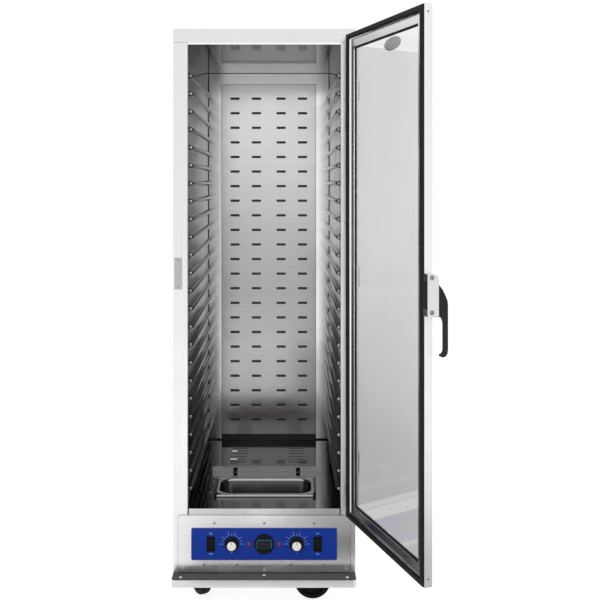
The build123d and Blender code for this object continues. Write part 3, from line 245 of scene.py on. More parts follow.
@dataclass
class Canvas:
    """Material under construction, with the nodes that every finish starts from."""

    name: str
    material: bpy.types.Material = field(init=False)

    def __post_init__(self) -> None:
        """Create the material with its shader and its coordinates."""
        self.material = bpy.data.materials.new(self.name)
        self.material.use_nodes = True
        self.nodes = self.material.node_tree.nodes
        self.links = self.material.node_tree.links
        self.shader = self.nodes["Principled BSDF"]
        self.place = self.nodes.new("ShaderNodeTexCoord").outputs["Object"]

    def group(self, tree: bpy.types.ShaderNodeTree, **values: object) -> bpy.types.ShaderNode:
        """Place a shader group, fed with the object's own coordinates.

        Args:
            tree: the shader group.
            values: plain values of its other inputs.

        Returns:
            The group node.
        """
        node = self.nodes.new("ShaderNodeGroup")
        node.node_tree = tree
        self.links.new(self.place, node.inputs["Vector"])
        for label, value in values.items():
            node.inputs[label].default_value = value
        return node

    def mixed(self, mask: bpy.types.NodeSocket, low: Colour, high: Colour) -> bpy.types.NodeSocket:
        """Colour that runs from low to high over a mask.

        Args:
            mask: the mask's socket.
            low: colour where the mask is 0.
            high: colour where the mask is 1.

        Returns:
            The colour's socket.
        """
        mix = self.nodes.new("ShaderNodeMix")
        mix.data_type = "RGBA"
        mix.inputs["A"].default_value = (*low, 1.0)
        mix.inputs["B"].default_value = (*high, 1.0)
        self.links.new(mask, mix.inputs["Factor"])
        return mix.outputs["Result"]

    def ranged(self, mask: bpy.types.NodeSocket, low: float, high: float) -> bpy.types.NodeSocket:
        """Value that runs from low to high over a mask.

        Args:
            mask: the mask's socket.
            low: value where the mask is 0.
            high: value where the mask is 1.

        Returns:
            The value's socket.
        """
        span = self.nodes.new("ShaderNodeMapRange")
        span.inputs["To Min"].default_value = low
        span.inputs["To Max"].default_value = high
        self.links.new(mask, span.inputs["Value"])
        return span.outputs["Result"]

    def foot_shaded(self, colour: bpy.types.NodeSocket, foot_shade: FootShade) -> bpy.types.NodeSocket:
        """Colour with painted shade that darkens it towards the foot of a piece.

        Args:
            colour: the colour's socket.
            foot_shade: heights between which it darkens, and the share left at the foot.

        Returns:
            The colour's socket.
        """
        node = self.group(ShaderGroups.fading(), Foot=foot_shade.foot, Head=foot_shade.head, Share=foot_shade.share)
        self.links.new(colour, node.inputs["Colour"])
        return node.outputs["Colour"]

    def bump(self, height: bpy.types.NodeSocket, distance: float) -> None:
        """Feed the shader's normal from a height, with a relief of so many metres."""
        node = self.nodes.new("ShaderNodeBump")
        node.inputs["Distance"].default_value = distance
        node.inputs["Strength"].default_value = 1.0
        self.links.new(height, node.inputs["Height"])
        self.links.new(node.outputs["Normal"], self.shader.inputs["Normal"])

    def feed(self, label: str, socket: bpy.types.NodeSocket) -> None:
        """Join a socket to one of the shader's inputs."""
        self.links.new(socket, self.shader.inputs[label])

    def fix(self, **values: float) -> None:
        """Set plain values on the shader, with spaces written as underscores."""
        for label, value in values.items():
            self.shader.inputs[label.replace("_", " ")].default_value = value


# Finishes


@dataclass(frozen=True)
class SheetSteel:
    """Brushed or bright stainless sheet. Its edge is how much it reflects at a grazing angle."""

    name: str
    tone: float
    roughness: float
    grain: Grain = Grain.ALONG_Z
    tint: Colour = (1.0, 1.0, 1.0)
    contrast: float = 0.06
    clouds: float = 0.05
    relief: float = 0.00002
    # painted shade towards the foot, where one is given
    foot_shade: FootShade | None = None
    edge: float = 1.0

    def material(self) -> bpy.types.Material:
        """The finish as a material."""
        canvas = Canvas(self.name)
        brushing = canvas.group(ShaderGroups.brushing(), Stretch=self.grain.value)
        clouding = canvas.group(ShaderGroups.clouding(), Scale=5.0)
        low = tuple(self.tone * (1 - self.contrast) * c for c in self.tint)
        high = tuple(min(1.0, self.tone * (1 + self.contrast) * c) for c in self.tint)
        colour = canvas.mixed(brushing.outputs["Streak"], low, high)
        canvas.feed("Base Color", canvas.foot_shaded(colour, self.foot_shade) if self.foot_shade else colour)
        smear = 4 * self.clouds
        smoothest, roughest = self.roughness * (1 - smear), self.roughness * (1 + smear)
        canvas.feed("Roughness", canvas.ranged(clouding.outputs["Patch"], smoothest, roughest))
        canvas.bump(brushing.outputs["Height"], self.relief)
        canvas.fix(Metallic=1.0)
        canvas.shader.inputs["Specular Tint"].default_value = (self.edge, self.edge, self.edge, 1.0)
        return canvas.material


@dataclass(frozen=True)
class Moulding:
    """Moulded plastic or rubber."""

    name: str
    colour: Colour
    roughness: float
    grain_scale: float = 1500.0
    relief: float = 0.00003
    scuffs: float = 0.5
    shine: float = 0.06

    def material(self) -> bpy.types.Material:
        """The finish as a material."""
        canvas = Canvas(self.name)
        pebbling = canvas.group(ShaderGroups.pebbling(), Scale=self.grain_scale)
        worn = tuple(min(1.0, c * (1 + self.scuffs) + 0.01 * self.scuffs) for c in self.colour)
        scuff = pebbling.outputs["Scuff"]
        canvas.feed("Base Color", canvas.mixed(scuff, self.colour, worn))
        canvas.feed("Roughness", canvas.ranged(scuff, self.roughness, self.roughness + 0.12))
        canvas.bump(pebbling.outputs["Height"], self.relief)
        canvas.fix(Specular_IOR_Level=self.shine)
        return canvas.material


@dataclass(frozen=True)
class PrintedFilm:
    """Satin printed film, for the control label and what is printed on it."""

    name: str
    colour: Colour
    roughness: float = 0.35

    def material(self) -> bpy.types.Material:
        """The finish as a material."""
        canvas = Canvas(self.name)
        clouding = canvas.group(ShaderGroups.clouding(), Scale=9.0)
        low = tuple(c * 0.93 for c in self.colour)
        canvas.feed("Base Color", canvas.mixed(clouding.outputs["Patch"], low, self.colour))
        pebbling = canvas.group(ShaderGroups.pebbling(), Scale=900.0)
        canvas.bump(pebbling.outputs["Height"], 0.00001)
        canvas.fix(Roughness=self.roughness, Specular_IOR_Level=0.2)
        return canvas.material


@dataclass(frozen=True)
class Glow:
    """Piece with a faint light of its own, such as a lamp lens or a lit segment."""

    name: str
    colour: Colour
    strength: float
    roughness: float = 0.15

    def material(self) -> bpy.types.Material:
        """The finish as a material."""
        canvas = Canvas(self.name)
        clouding = canvas.group(ShaderGroups.clouding(), Scale=120.0)
        low = tuple(c * 0.8 for c in self.colour)
        shade = canvas.mixed(clouding.outputs["Patch"], low, self.colour)
        canvas.feed("Base Color", shade)
        canvas.feed("Emission Color", shade)
        canvas.fix(Roughness=self.roughness, Emission_Strength=self.strength)
        return canvas.material


@dataclass(frozen=True)
class ClearGlass:
    """Clear tempered glass with a faint wipe haze, and painted shade that darkens it towards its foot. Shadow
    rays pass through it.
    """

    name: str
    colour: Colour
    roughness: float = 0.02
    # painted shade towards the foot of the glass
    foot_shade: FootShade = FootShade(0.40, 1.30, 0.62)

    def material(self) -> bpy.types.Material:
        """The finish as a material."""
        canvas = Canvas(self.name)
        patch = canvas.group(ShaderGroups.clouding(), Scale=3.0).outputs["Patch"]
        low = tuple(c * 0.95 for c in self.colour)
        canvas.feed("Base Color", canvas.foot_shaded(canvas.mixed(patch, low, self.colour), self.foot_shade))
        canvas.feed("Roughness", canvas.ranged(patch, self.roughness, self.roughness + 0.03))
        canvas.fix(IOR=1.45, Transmission_Weight=1.0)
        path = canvas.nodes.new("ShaderNodeLightPath")
        clear = canvas.nodes.new("ShaderNodeBsdfTransparent")
        clear.inputs["Color"].default_value = (0.86, 0.87, 0.87, 1.0)
        mix = canvas.nodes.new("ShaderNodeMixShader")
        canvas.links.new(path.outputs["Is Shadow Ray"], mix.inputs["Fac"])
        canvas.links.new(canvas.shader.outputs["BSDF"], mix.inputs[1])
        canvas.links.new(clear.outputs["BSDF"], mix.inputs[2])
        canvas.links.new(mix.outputs["Shader"], canvas.nodes["Material Output"].inputs["Surface"])
        return canvas.material


class Finishes:
    """All finishes of the cabinet, each made once and shared."""

    ALL = (
        SheetSteel("casing_steel", 0.80, 0.30, Grain.ALONG_Z, edge=0.70),
        SheetSteel("cap_steel", 0.78, 0.28, Grain.ALONG_X),
        # painted shade: the slide walls darken towards their foot
        SheetSteel("wall_steel", 0.24, 0.12, Grain.ALONG_Y, contrast=0.05, foot_shade=FootShade(0.35, 0.90, 0.90),
                   edge=0.29),
        SheetSteel("liner_steel", 0.95, 0.13, Grain.ALONG_X, contrast=0.04),
        # painted shade: a darker copy of the lining for its roof
        SheetSteel("roof_shade_steel", 0.40, 0.05, Grain.ALONG_X, contrast=0.04, edge=0.45),
        # painted shade: the duct sheet darkens towards its foot
        SheetSteel("duct_steel", 0.68, 0.17, Grain.ALONG_X, contrast=0.05, foot_shade=FootShade(0.80, 1.60, 0.54)),
        # near-black steel for painted shadow under the duct and painted shade behind its slots
        SheetSteel("painted_shadow_steel", 0.05, 0.30, Grain.ALONG_X, contrast=0.05, edge=0.20),
        SheetSteel("floor_steel", 0.34, 0.09, Grain.ALONG_X, contrast=0.05, edge=0.58),
        # lighter steel; on the floor plate's forward lip it is a painted highlight
        SheetSteel("lip_steel", 0.60, 0.26, Grain.ALONG_X, contrast=0.06),
        SheetSteel("pan_steel", 0.46, 0.14, Grain.ALONG_X, contrast=0.03),
        # painted shade: a dark copy of the pan steel for the inside of its basin
        SheetSteel("pan_basin_shade", 0.17, 0.20, Grain.ALONG_X, contrast=0.03),
        SheetSteel("panel_steel", 0.76, 0.26, Grain.ALONG_X, contrast=0.07),
        SheetSteel("base_steel", 0.66, 0.26, Grain.ALONG_X, contrast=0.06),
        # painted shade: a dark copy of the base steel for the ledge's upward faces
        SheetSteel("ledge_shade_steel", 0.12, 0.20, Grain.ALONG_X, contrast=0.06, edge=0.50),
        SheetSteel("screw_steel", 0.72, 0.22, Grain.ALONG_X, contrast=0.02),
        # painted shade: a darker copy of screw_steel for screws in upright faces
        SheetSteel("shaded_screw_steel", 0.30, 0.28, Grain.ALONG_X, contrast=0.02),
        SheetSteel("hinge_steel", 0.66, 0.28, Grain.ALONG_Z),
        SheetSteel("zinc", 0.52, 0.36, Grain.ALONG_X, tint=(0.97, 0.99, 1.0), clouds=0.09),
        SheetSteel("fork_zinc", 0.58, 0.30, Grain.ALONG_Z, tint=(0.98, 0.99, 1.0), clouds=0.08),
        SheetSteel("component_grey", 0.22, 0.45, Grain.ALONG_X),
        SheetSteel("heater_steel", 0.28, 0.42, Grain.ALONG_X, tint=(1.0, 0.92, 0.84), clouds=0.12),
        SheetSteel("copper", 0.72, 0.28, Grain.ALONG_X, tint=(1.0, 0.62, 0.42)),
        SheetSteel("door_aluminium", 0.86, 0.34, Grain.ALONG_Z, contrast=0.03),
        # painted shade: the door frame's inner faces darken strongly towards their foot
        SheetSteel("door_inside", 0.84, 0.30, Grain.ALONG_Z, contrast=0.03, foot_shade=FootShade(0.35, 1.30, 0.20),
                   edge=0.60),
        SheetSteel("badge_grey", 0.42, 0.38, Grain.ALONG_Z),
        SheetSteel("latch_chrome", 0.72, 0.16, Grain.ALONG_Z, contrast=0.02),
        SheetSteel("strike_steel", 0.48, 0.12, Grain.ALONG_Z, contrast=0.03),
        # black for painted shade in the cavity's corners and painted shadow lines round the duct and the
        # control panel
        Moulding("painted_shadow_black", (0.006, 0.006, 0.006), 0.60),
        Moulding("lever_black", (0.018, 0.018, 0.019), 0.42),
        Moulding("black_plastic", (0.008, 0.008, 0.009), 0.36),
        Moulding("knob_cap", (0.68, 0.68, 0.64), 0.34, scuffs=0.05),
        Moulding("gasket_black", (0.014, 0.014, 0.014), 0.55, grain_scale=700.0),
        Moulding("tyre_black", (0.005, 0.005, 0.005), 0.50, grain_scale=900.0),
        Moulding("hub_black", (0.007, 0.007, 0.007), 0.40),
        Moulding("wool", (0.62, 0.55, 0.30), 0.95, grain_scale=300.0, relief=0.001),
        PrintedFilm("label_blue", (0.0015, 0.026, 0.240)),
        PrintedFilm("label_gold", (0.20, 0.13, 0.05)),
        PrintedFilm("print_pale", (0.42, 0.50, 0.72)),
        PrintedFilm("window_dark", (0.006, 0.014, 0.016), 0.12),
        Glow("segment_red", (0.060, 0.010, 0.008), 0.10, 0.5),
        Glow("segment_cyan", (0.02, 0.36, 0.60), 1.2, 0.5),
        Glow("lamp_red", (0.24, 0.012, 0.002), 0.06),
        ClearGlass("door_glass", (0.88, 0.88, 0.88)),
    )

    def __init__(self) -> None:
        """Build every finish."""
        self._made = {finish.name: finish.material() for finish in self.ALL}

    def __getitem__(self, name: str) -> bpy.types.Material:
        """The finish of that name."""
        return self._made[name]


# Shared making


@dataclass
class Workshop:
    """Makes pieces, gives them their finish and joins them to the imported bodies."""

    finishes: Finishes
    count: int = 0

    def slot_of(self, node: str) -> str:
        """Material slot that the record gives to a node."""
        return next(s["material_slot"] for s in frame["record"]["subparts"] if s["node"] == node)

    def body_of(self, node: str) -> str:
        """Body that the record puts a node in."""
        bodies = frame["record"]["behaviour"]["bodies"]
        return next(body for body, nodes in bodies.items() if node in nodes)

    def coat(self, node: str, finish: str) -> None:
        """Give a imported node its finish."""
        materials = frame["nodes"][node].data.materials
        materials.clear()
        materials.append(self.finishes[finish])

    def piece(
        self, name: str, mesh: bpy.types.Mesh, finish: str, body: str, slot: str, replaces: Sequence[str] = ()
    ) -> bpy.types.Object:
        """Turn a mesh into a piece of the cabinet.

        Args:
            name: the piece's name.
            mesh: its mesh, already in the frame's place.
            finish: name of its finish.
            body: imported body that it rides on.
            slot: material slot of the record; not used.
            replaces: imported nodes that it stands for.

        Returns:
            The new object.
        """
        obj = bpy.data.objects.new(name, mesh)
        bpy.context.scene.collection.objects.link(obj)
        if not mesh.materials:
            mesh.materials.append(self.finishes[finish])
        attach(obj, body)
        if replaces:
            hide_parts(*replaces)
        self.count += 1
        LOG.info("%s rides on %s", name, body)
        return obj

    def two_toned(self, mesh: bpy.types.Mesh, finish: str, way: Point, least: float = 0.9) -> None:
        """Give the faces that look one way a second finish.

        Args:
            mesh: the mesh.
            finish: name of the second finish.
            way: direction in which those faces look.
            least: least cosine between a face's normal and that direction.
        """
        mesh.materials.append(self.finishes[finish])
        for face in mesh.polygons:
            if face.normal.dot(Vector(way)) > least:
                face.material_index = len(mesh.materials) - 1

    def softened(
        self, node: str, finish: str, width: float, segments: int = 2, angle: float = 32.0
    ) -> bpy.types.Mesh:
        """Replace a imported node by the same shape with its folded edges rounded.

        Args:
            node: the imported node.
            finish: name of its finish.
            width: width of the rounding in millimetres.
            segments: steps across the rounding.
            angle: least angle in degrees between faces for an edge to be rounded.

        Returns:
            The new mesh.
        """
        edit = bmesh.new()
        edit.from_mesh(frame["nodes"][node].data)
        bmesh.ops.remove_doubles(edit, verts=edit.verts, dist=0.00001)
        bmesh.ops.dissolve_limit(edit, angle_limit=math.radians(1.0), verts=edit.verts, edges=edit.edges)
        sharp = [
            e
            for e in edit.edges
            if e.is_manifold and e.calc_face_angle(0.0) > math.radians(angle) and e.calc_length() > 0.0015
        ]
        bmesh.ops.bevel(
            edit,
            geom=sharp,
            offset=width * MM,
            offset_type="OFFSET",
            segments=segments,
            profile=0.5,
            affect="EDGES",
            clamp_overlap=True,
        )
        mesh = smooth(mesh_of(edit, f"{node}_skin"))
        even_out(self.piece(f"{node}_skin", mesh, finish, self.body_of(node), self.slot_of(node), (node,)))
        return mesh


def even_out(obj: bpy.types.Object) -> None:
    """Keep the flat faces of a softened piece flat in its shading."""
    even = obj.modifiers.new("flat faces stay flat", "WEIGHTED_NORMAL")
    even.keep_sharp = True


def smooth(mesh: bpy.types.Mesh, angle: float = 40.0) -> bpy.types.Mesh:
    """Shade a mesh smooth, apart from edges sharper than the angle in degrees."""
    mesh.polygons.foreach_set("use_smooth", [True] * len(mesh.polygons))
    mesh.set_sharp_from_angle(angle=math.radians(angle))
    mesh.update()
    return mesh

def mesh_of(edit: bmesh.types.BMesh, name: str) -> bpy.types.Mesh:
    """Turn a finished edit into a mesh of that name, and free it."""
    mesh = bpy.data.meshes.new(name)
    edit.to_mesh(mesh)
    edit.free()
    return mesh


def bridge(edit: bmesh.types.BMesh, rings: Sequence[Sequence[bmesh.types.BMVert]]) -> None:
    """Join each ring of points to the next one, all with the same number of points."""
    for low, high in zip(rings, rings[1:]):
        for i in range(len(low)):
            j = (i + 1) % len(low)
            edit.faces.new([low[i], low[j], high[j], high[i]])


def turned(name: str, profile: Outline, place: Matrix, steps: int = 48) -> bpy.types.Mesh:
    """Round mesh turned from a profile.

    Args:
        name: the mesh's name.
        profile: radius and height in millimetres, from one end to the other.
        place: matrix that puts the turned piece, upright on the origin, in its place.
        steps: faces round the axis.

    Returns:
        The mesh.
    """
    edit = bmesh.new()
    rings = []
    for radius, height in profile:
        if radius <= 0:
            rings.append([edit.verts.new((0, 0, height * MM))])
            continue
        ring = []
        for i in range(steps):
            a = 2 * math.pi * i / steps
            ring.append(edit.verts.new((radius * MM * math.cos(a), radius * MM * math.sin(a), height * MM)))
        rings.append(ring)
    for low, high in zip(rings, rings[1:]):
        for i in range(steps):
            j = (i + 1) % steps
            corners = [low[i % len(low)], low[j % len(low)], high[j % len(high)], high[i % len(high)]]
            unique = list(dict.fromkeys(corners))
            if len(unique) > 2:
                edit.faces.new(unique)
    bmesh.ops.recalc_face_normals(edit, faces=edit.faces)
    edit.transform(place)
    return smooth(mesh_of(edit, name), 32.0)


def facing(spot: Point, way: Facing) -> Matrix:
    """Matrix that turns an upright piece to face its way and moves it to a spot in millimetres."""
    turn = Matrix.Rotation(math.pi / 2, 4, "X") if way is Facing.FRONT else Matrix.Identity(4)
    return Matrix.Translation(Vector(spot) * MM) @ turn


def joined(name: str, parts: Sequence[bpy.types.Mesh]) -> bpy.types.Mesh:
    """One mesh of several, which are then removed.

    Args:
        name: the new mesh's name.
        parts: the meshes, with the same finish.

    Returns:
        The joined mesh.
    """
    edit = bmesh.new()
    for part in parts:
        edit.from_mesh(part)
        bpy.data.meshes.remove(part)
    return smooth(mesh_of(edit, name), 32.0)


def plate(name: str, outline: Outline, thickness: float, place: Matrix) -> bpy.types.Mesh:
    """Flat plate of any outline.

    Args:
        name: the mesh's name.
        outline: corners in millimetres, in order.
        thickness: thickness in millimetres, upwards from the outline's plane.
        place: matrix that puts the level plate in its place.

    Returns:
        The mesh.
    """
    edit = bmesh.new()
    face = edit.faces.new([edit.verts.new((x * MM, y * MM, 0)) for x, y in outline])
    grown = bmesh.ops.extrude_face_region(edit, geom=[face])["geom"]
    top = [v for v in grown if isinstance(v, bmesh.types.BMVert)]
    bmesh.ops.translate(edit, verts=top, vec=(0, 0, thickness * MM))
    bmesh.ops.recalc_face_normals(edit, faces=edit.faces)
    edit.transform(place)
    return mesh_of(edit, name)


def oblong(half: float, low: float, high: float) -> Outline:
    """Outline of a rectangle that reaches as far to both sides, from its low to its high edge."""
    return [(-half, low), (half, low), (half, high), (-half, high)]


def rounded(width: float, height: float, radius: float, steps: int = 6) -> Outline:
    """Outline of a rectangle with round corners, about the origin, in millimetres."""
    points = []
    for corner in range(4):
        a0 = math.pi / 2 * corner
        cx = (width / 2 - radius) * (1 if corner in (0, 3) else -1)
        cy = (height / 2 - radius) * (1 if corner in (0, 1) else -1)
        for i in range(steps + 1):
            a = a0 + math.pi / 2 * i / steps
            points.append((cx + radius * math.cos(a), cy + radius * math.sin(a)))
    return points


def banded(name: str, outer: Outline, inner: Outline, thickness: float, place: Matrix) -> bpy.types.Mesh:
    """Flat band between two outlines with the same number of corners.

    Args:
        name: the mesh's name.
        outer: outer corners in millimetres.
        inner: inner corners in millimetres.
        thickness: thickness in millimetres.
        place: matrix that puts the level band in its place.

    Returns:
        The mesh.
    """
    edit = bmesh.new()
    loops = []
    for z in (0.0, thickness * MM):
        for outline in (outer, inner):
            loops.append([edit.verts.new((x * MM, y * MM, z)) for x, y in outline])
    n = len(outer)
    for i in range(n):
        j = (i + 1) % n
        for a, b in ((0, 1), (2, 3), (0, 2), (1, 3)):
            edit.faces.new([loops[a][i], loops[a][j], loops[b][j], loops[b][i]])
    bmesh.ops.recalc_face_normals(edit, faces=edit.faces)
    edit.transform(place)
    return mesh_of(edit, name)


def lettering(text: str, size: float, place: Matrix) -> bpy.types.Mesh:
    """Printed figures or words as a thin mesh.

    Args:
        text: what is printed.
        size: height of the type in millimetres.
        place: matrix that puts the level print in its place.

    Returns:
        The mesh.
    """
    curve = bpy.data.curves.new("print", "FONT")
    curve.body = text
    curve.size = size * MM
    curve.align_x = "CENTER"
    curve.align_y = "CENTER"
    curve.extrude = 0.00002
    obj = bpy.data.objects.new("print", curve)
    bpy.context.scene.collection.objects.link(obj)
    mesh = bpy.data.meshes.new_from_object(obj.evaluated_get(bpy.context.evaluated_depsgraph_get()))
    bpy.data.objects.remove(obj)
    mesh.transform(place)
    return mesh


def pan_head(name: str, radius: float, height: float, place: Matrix) -> bpy.types.Mesh:
    """Domed screw head with a cross recess.

    Args:
        name: the mesh's name.
        radius: head radius in millimetres.
        height: head height in millimetres.
        place: matrix that puts the head in its place.

    Returns:
        The mesh.
    """
    arm, reach, depth = radius * 0.13, radius * 0.52, height * 0.45
    edit = bmesh.new()
    plus = []
    for quarter in range(4):
        turn = Matrix.Rotation(math.pi / 2 * quarter, 2)
        plus += [turn @ Vector(p) for p in ((reach, -arm), (reach, arm), (arm, arm))]
    rim = []
    for p in plus:
        a = math.atan2(p.y, p.x)
        rim.append((math.cos(a), math.sin(a)))
    rows = [[(p.x, p.y, height - depth) for p in plus], [(p.x, p.y, height) for p in plus]]
    for share, lift in ((0.62, 0.98), (0.84, 0.78), (0.96, 0.42), (1.0, 0.0)):
        rows.append([(x * radius * share, y * radius * share, height * lift) for x, y in rim])
    rings = [[edit.verts.new(Vector(p) * MM) for p in row] for row in rows]
    edit.faces.new(rings[0])
    bridge(edit, rings)
    bmesh.ops.recalc_face_normals(edit, faces=edit.faces)
    edit.transform(place)
    return mesh_of(edit, name)


# Sub-assemblies


@dataclass
class Casing:
    """Outer skins, base frame and the screws that show on them."""

    shop: Workshop
    front_screws: Sequence[tuple[float, float]] = (
        (-153.5, 272.8), (0.0, 272.8), (153.5, 272.8), (-184.0, 146.2), (-82.5, 146.2), (82.5, 146.2),
        (184.0, 146.2),
    )
    ledge_screws: Sequence[tuple[float, float]] = ((-253.0, -36.0), (253.0, -36.0), (0.0, -21.0))
    floor_screws: Sequence[tuple[float, float]] = (
        (-177.0, 150.0), (-177.0, 268.0), (177.0, 150.0), (177.0, 268.0),
    )
    clip_screws: Sequence[tuple[float, float]] = ((-108.5, 356.0), (108.5, 356.0))
    strike_screws: Sequence[tuple[float, float]] = ((-264.2, 999.0), (-264.2, 1081.0))
    panel_face: float = -2.0
    strike_face: float = -1.5
    ledge_top: float = 121.0
    floor_top: float = 317.5
    clip_top: float = 318.7

    def heads(
        self, spots: Sequence[tuple[float, float]], level: float, way: Facing, radius: float, height: float
    ) -> list[bpy.types.Mesh]:
        """Screw heads on one surface.

        Args:
            spots: the two measures of each place along the surface.
            level: the surface's own measure.
            way: way that the surface faces.
            radius: radius of a head.
            height: height of a head.

        Returns:
            The meshes.
        """
        places = [(u, level, v) if way is Facing.FRONT else (u, v, level) for u, v in spots]
        return [pan_head("head", radius, height, facing(place, way)) for place in places]

    def build(self) -> None:
        """Dress the skins and put the screws in."""
        for node in ("left_side_panel", "right_side_panel", "back_panel"):
            self.shop.softened(node, "casing_steel", 0.7)
        self.shop.softened("top_cap", "cap_steel", 1.0)
        # painted shade: the base frame's faces that look up get a far darker finish
        self.shop.two_toned(self.shop.softened("base_frame", "base_steel", 0.9), "ledge_shade_steel", UPWARDS)
        self.shop.softened("strike_plate", "strike_steel", 0.4)
        # painted shade: screws on upright faces get the darker screw steel, those that face up keep the plain
        # one
        dark = self.heads(self.front_screws, self.panel_face, Facing.FRONT, 3.9, 1.9)
        dark += self.heads(self.strike_screws, self.strike_face, Facing.FRONT, 2.6, 0.9)
        mesh = joined("front_screw_heads", dark)
        self.shop.piece("front_screw_heads", mesh, "shaded_screw_steel", "cabinet", "screw_steel")
        bright = self.heads(self.ledge_screws, self.ledge_top, Facing.UP, 5.0, 2.6)
        bright += self.heads(self.floor_screws, self.floor_top, Facing.UP, 3.4, 1.6)
        bright += self.heads(self.clip_screws, self.clip_top, Facing.UP, 3.4, 1.6)
        mesh = joined("casing_screw_heads", bright)
        self.shop.piece("casing_screw_heads", mesh, "screw_steel", "cabinet", "screw_steel", ("casing_screws",))


@dataclass
class Cavity:
    """Lining, pressed slide walls, duct, floor and guard."""

    shop: Workshop
    half: float = 234.3
    front: float = 1.5
    back: float = 769.7
    low: float = 316.3
    high: float = 1744.3
    rib_count: int = 24
    rib_top: float = 1655.0
    rib_pitch: float = 56.3
    rib_reach: float = 11.0
    rib_start: float = 55.0
    rib_hip: float = 13.0
    sheet: float = 1.2
    floor_z: float = 317.5
    floor_gap: float = 5.0
    seam: float = 1.6
    duct_half: float = 182.0
    duct_depth: float = 14.7
    duct_low: float = 343.0
    duct_top: float = 1700.0
    duct_seat: float = 318.6
    column_edge: float = 89.5
    columns: Sequence[float] = (-131.0, -48.0, 48.0, 131.0)
    slot_size: tuple[float, float, float] = (36.0, 9.0, 4.2)
    slot_rows: int = 23
    slot_top: float = 1645.0
    slot_pitch: float = 56.6
    slot_steps: int = 6
    slot_lip: Outline = ((0.5, 0.0), (0.15, 0.15), (0.0, 0.5), (0.0, 1.6))
    section: Outline = (
        (-10.4, 0.0), (-9.4, 0.03), (-7.8, 0.16), (-6.0, 0.48), (-4.4, 0.80), (-3.1, 0.95), (-1.6, 1.0),
        (0.0, 1.0), (1.6, 1.0), (3.1, 0.95), (4.4, 0.80), (6.0, 0.48), (7.8, 0.16), (9.4, 0.03), (10.4, 0.0),
    )

    def cell(self, left: float, right: float, low: float, high: float, slot: Outline) -> Outline:
        """Outline of one field of the duct sheet, with a point for each point of the slot in it.

        Args:
            left: left edge of the field.
            right: right edge.
            low: lower edge.
            high: upper edge.
            slot: outline of the slot, with round corners.

        Returns:
            The outline.
        """
        steps = self.slot_steps
        outline = []
        for corner, (sx, sz) in enumerate(((1, 1), (-1, 1), (-1, -1), (1, -1))):
            corner_x, corner_z = (right if sx > 0 else left), (high if sz > 0 else low)
            for i in range(steps + 1):
                share = abs(i - steps / 2) / (steps / 2)
                along_x = i > steps / 2 if corner in (0, 2) else i < steps / 2
                slot_x, slot_z = slot[corner * (steps + 1) + i]
                if along_x:
                    outline.append((corner_x + (slot_x - corner_x) * share, corner_z))
                else:
                    outline.append((corner_x, corner_z + (slot_z - corner_z) * share))
        return outline

    def duct(self) -> bpy.types.Mesh:
        """Duct sheet with its rows of round-ended slots, rolled inwards at their lips, and its folded sides."""
        front, back = self.back - self.duct_depth, self.back
        top, low, half = self.duct_top, self.duct_low, self.duct_half
        width, height, radius = self.slot_size
        edit = bmesh.new()
        edges = [-half, -self.column_edge, 0.0, self.column_edge, half]
        first = self.slot_top + self.slot_pitch / 2
        rows = [low] + [first - self.slot_pitch * i for i in reversed(range(self.slot_rows + 1))]

        def point(x: float, z: float, y: float = front) -> bmesh.types.BMVert:
            """New point of the sheet, on its face where no depth is given."""
            return edit.verts.new((x * MM, y * MM, z * MM))

        for row, (z0, z1) in enumerate(zip(rows, rows[1:] + [top])):
            for cx, x0, x1 in zip(self.columns, edges, edges[1:]):
                if row in (0, len(rows) - 1):
                    edit.faces.new([point(x0, z0), point(x1, z0), point(x1, z1), point(x0, z1)])
                    continue
                cz = (z0 + z1) / 2
                slot = [(cx + x, cz + z) for x, z in rounded(width, height, radius, self.slot_steps)]
                loops = [[point(x, z) for x, z in self.cell(x0, x1, z0, z1, slot)]]
                for grow, depth in self.slot_lip:
                    wide, tall = 1 + grow / (width / 2), 1 + grow / (height / 2)
                    ring = [(cx + (x - cx) * wide, cz + (z - cz) * tall) for x, z in slot]
                    loops.append([point(x, z, front + depth) for x, z in ring])
                bridge(edit, loops)
        bmesh.ops.remove_doubles(edit, verts=edit.verts, dist=0.00002)
        for x in (-half, half):
            edit.faces.new([point(x, low), point(x, low, back), point(x, top, back), point(x, top)])
        edit.faces.new([point(-half, top), point(half, top), point(half, top, back), point(-half, top, back)])
        bmesh.ops.recalc_face_normals(edit, faces=edit.faces)
        if max(edit.faces, key=lambda f: abs(f.normal.y) * f.calc_area()).normal.y > 0:
            bmesh.ops.reverse_faces(edit, faces=edit.faces)
        return smooth(mesh_of(edit, "air_duct_sheet"), 30.0)

    def shade_strips(self) -> bpy.types.Mesh:
        """Painted shade: black strips in the back corners of the cavity, along the top of the back wall and in
        the gap beside the floor plate.
        """
        strips = []
        half, back, top, seam = self.half, self.back, self.high, self.seam
        on_floor = Matrix.Translation((0, 0, self.floor_z * MM))
        in_gap = Matrix.Translation((0, 0, (self.floor_z - 1.5) * MM))
        for side in (-1, 1):
            x0, x1 = sorted((side * half, side * (half - seam)))
            corner = [(x0, back - seam), (x1, back - seam), (x1, back), (x0, back)]
            strips.append(plate("seam", corner, top - self.floor_z, on_floor))
            x0, x1 = sorted((side * half, side * (half - self.floor_gap)))
            gap = [(x0, 2.0), (x1, 2.0), (x1, back - 2.0), (x0, back - 2.0)]
            strips.append(plate("seam", gap, 1.0, in_gap))
        strips.append(plate("seam", oblong(half, top - 1.4, top), 1.4, facing((0, back, 0), Facing.FRONT)))
        return joined("cavity_shade_strips", strips)

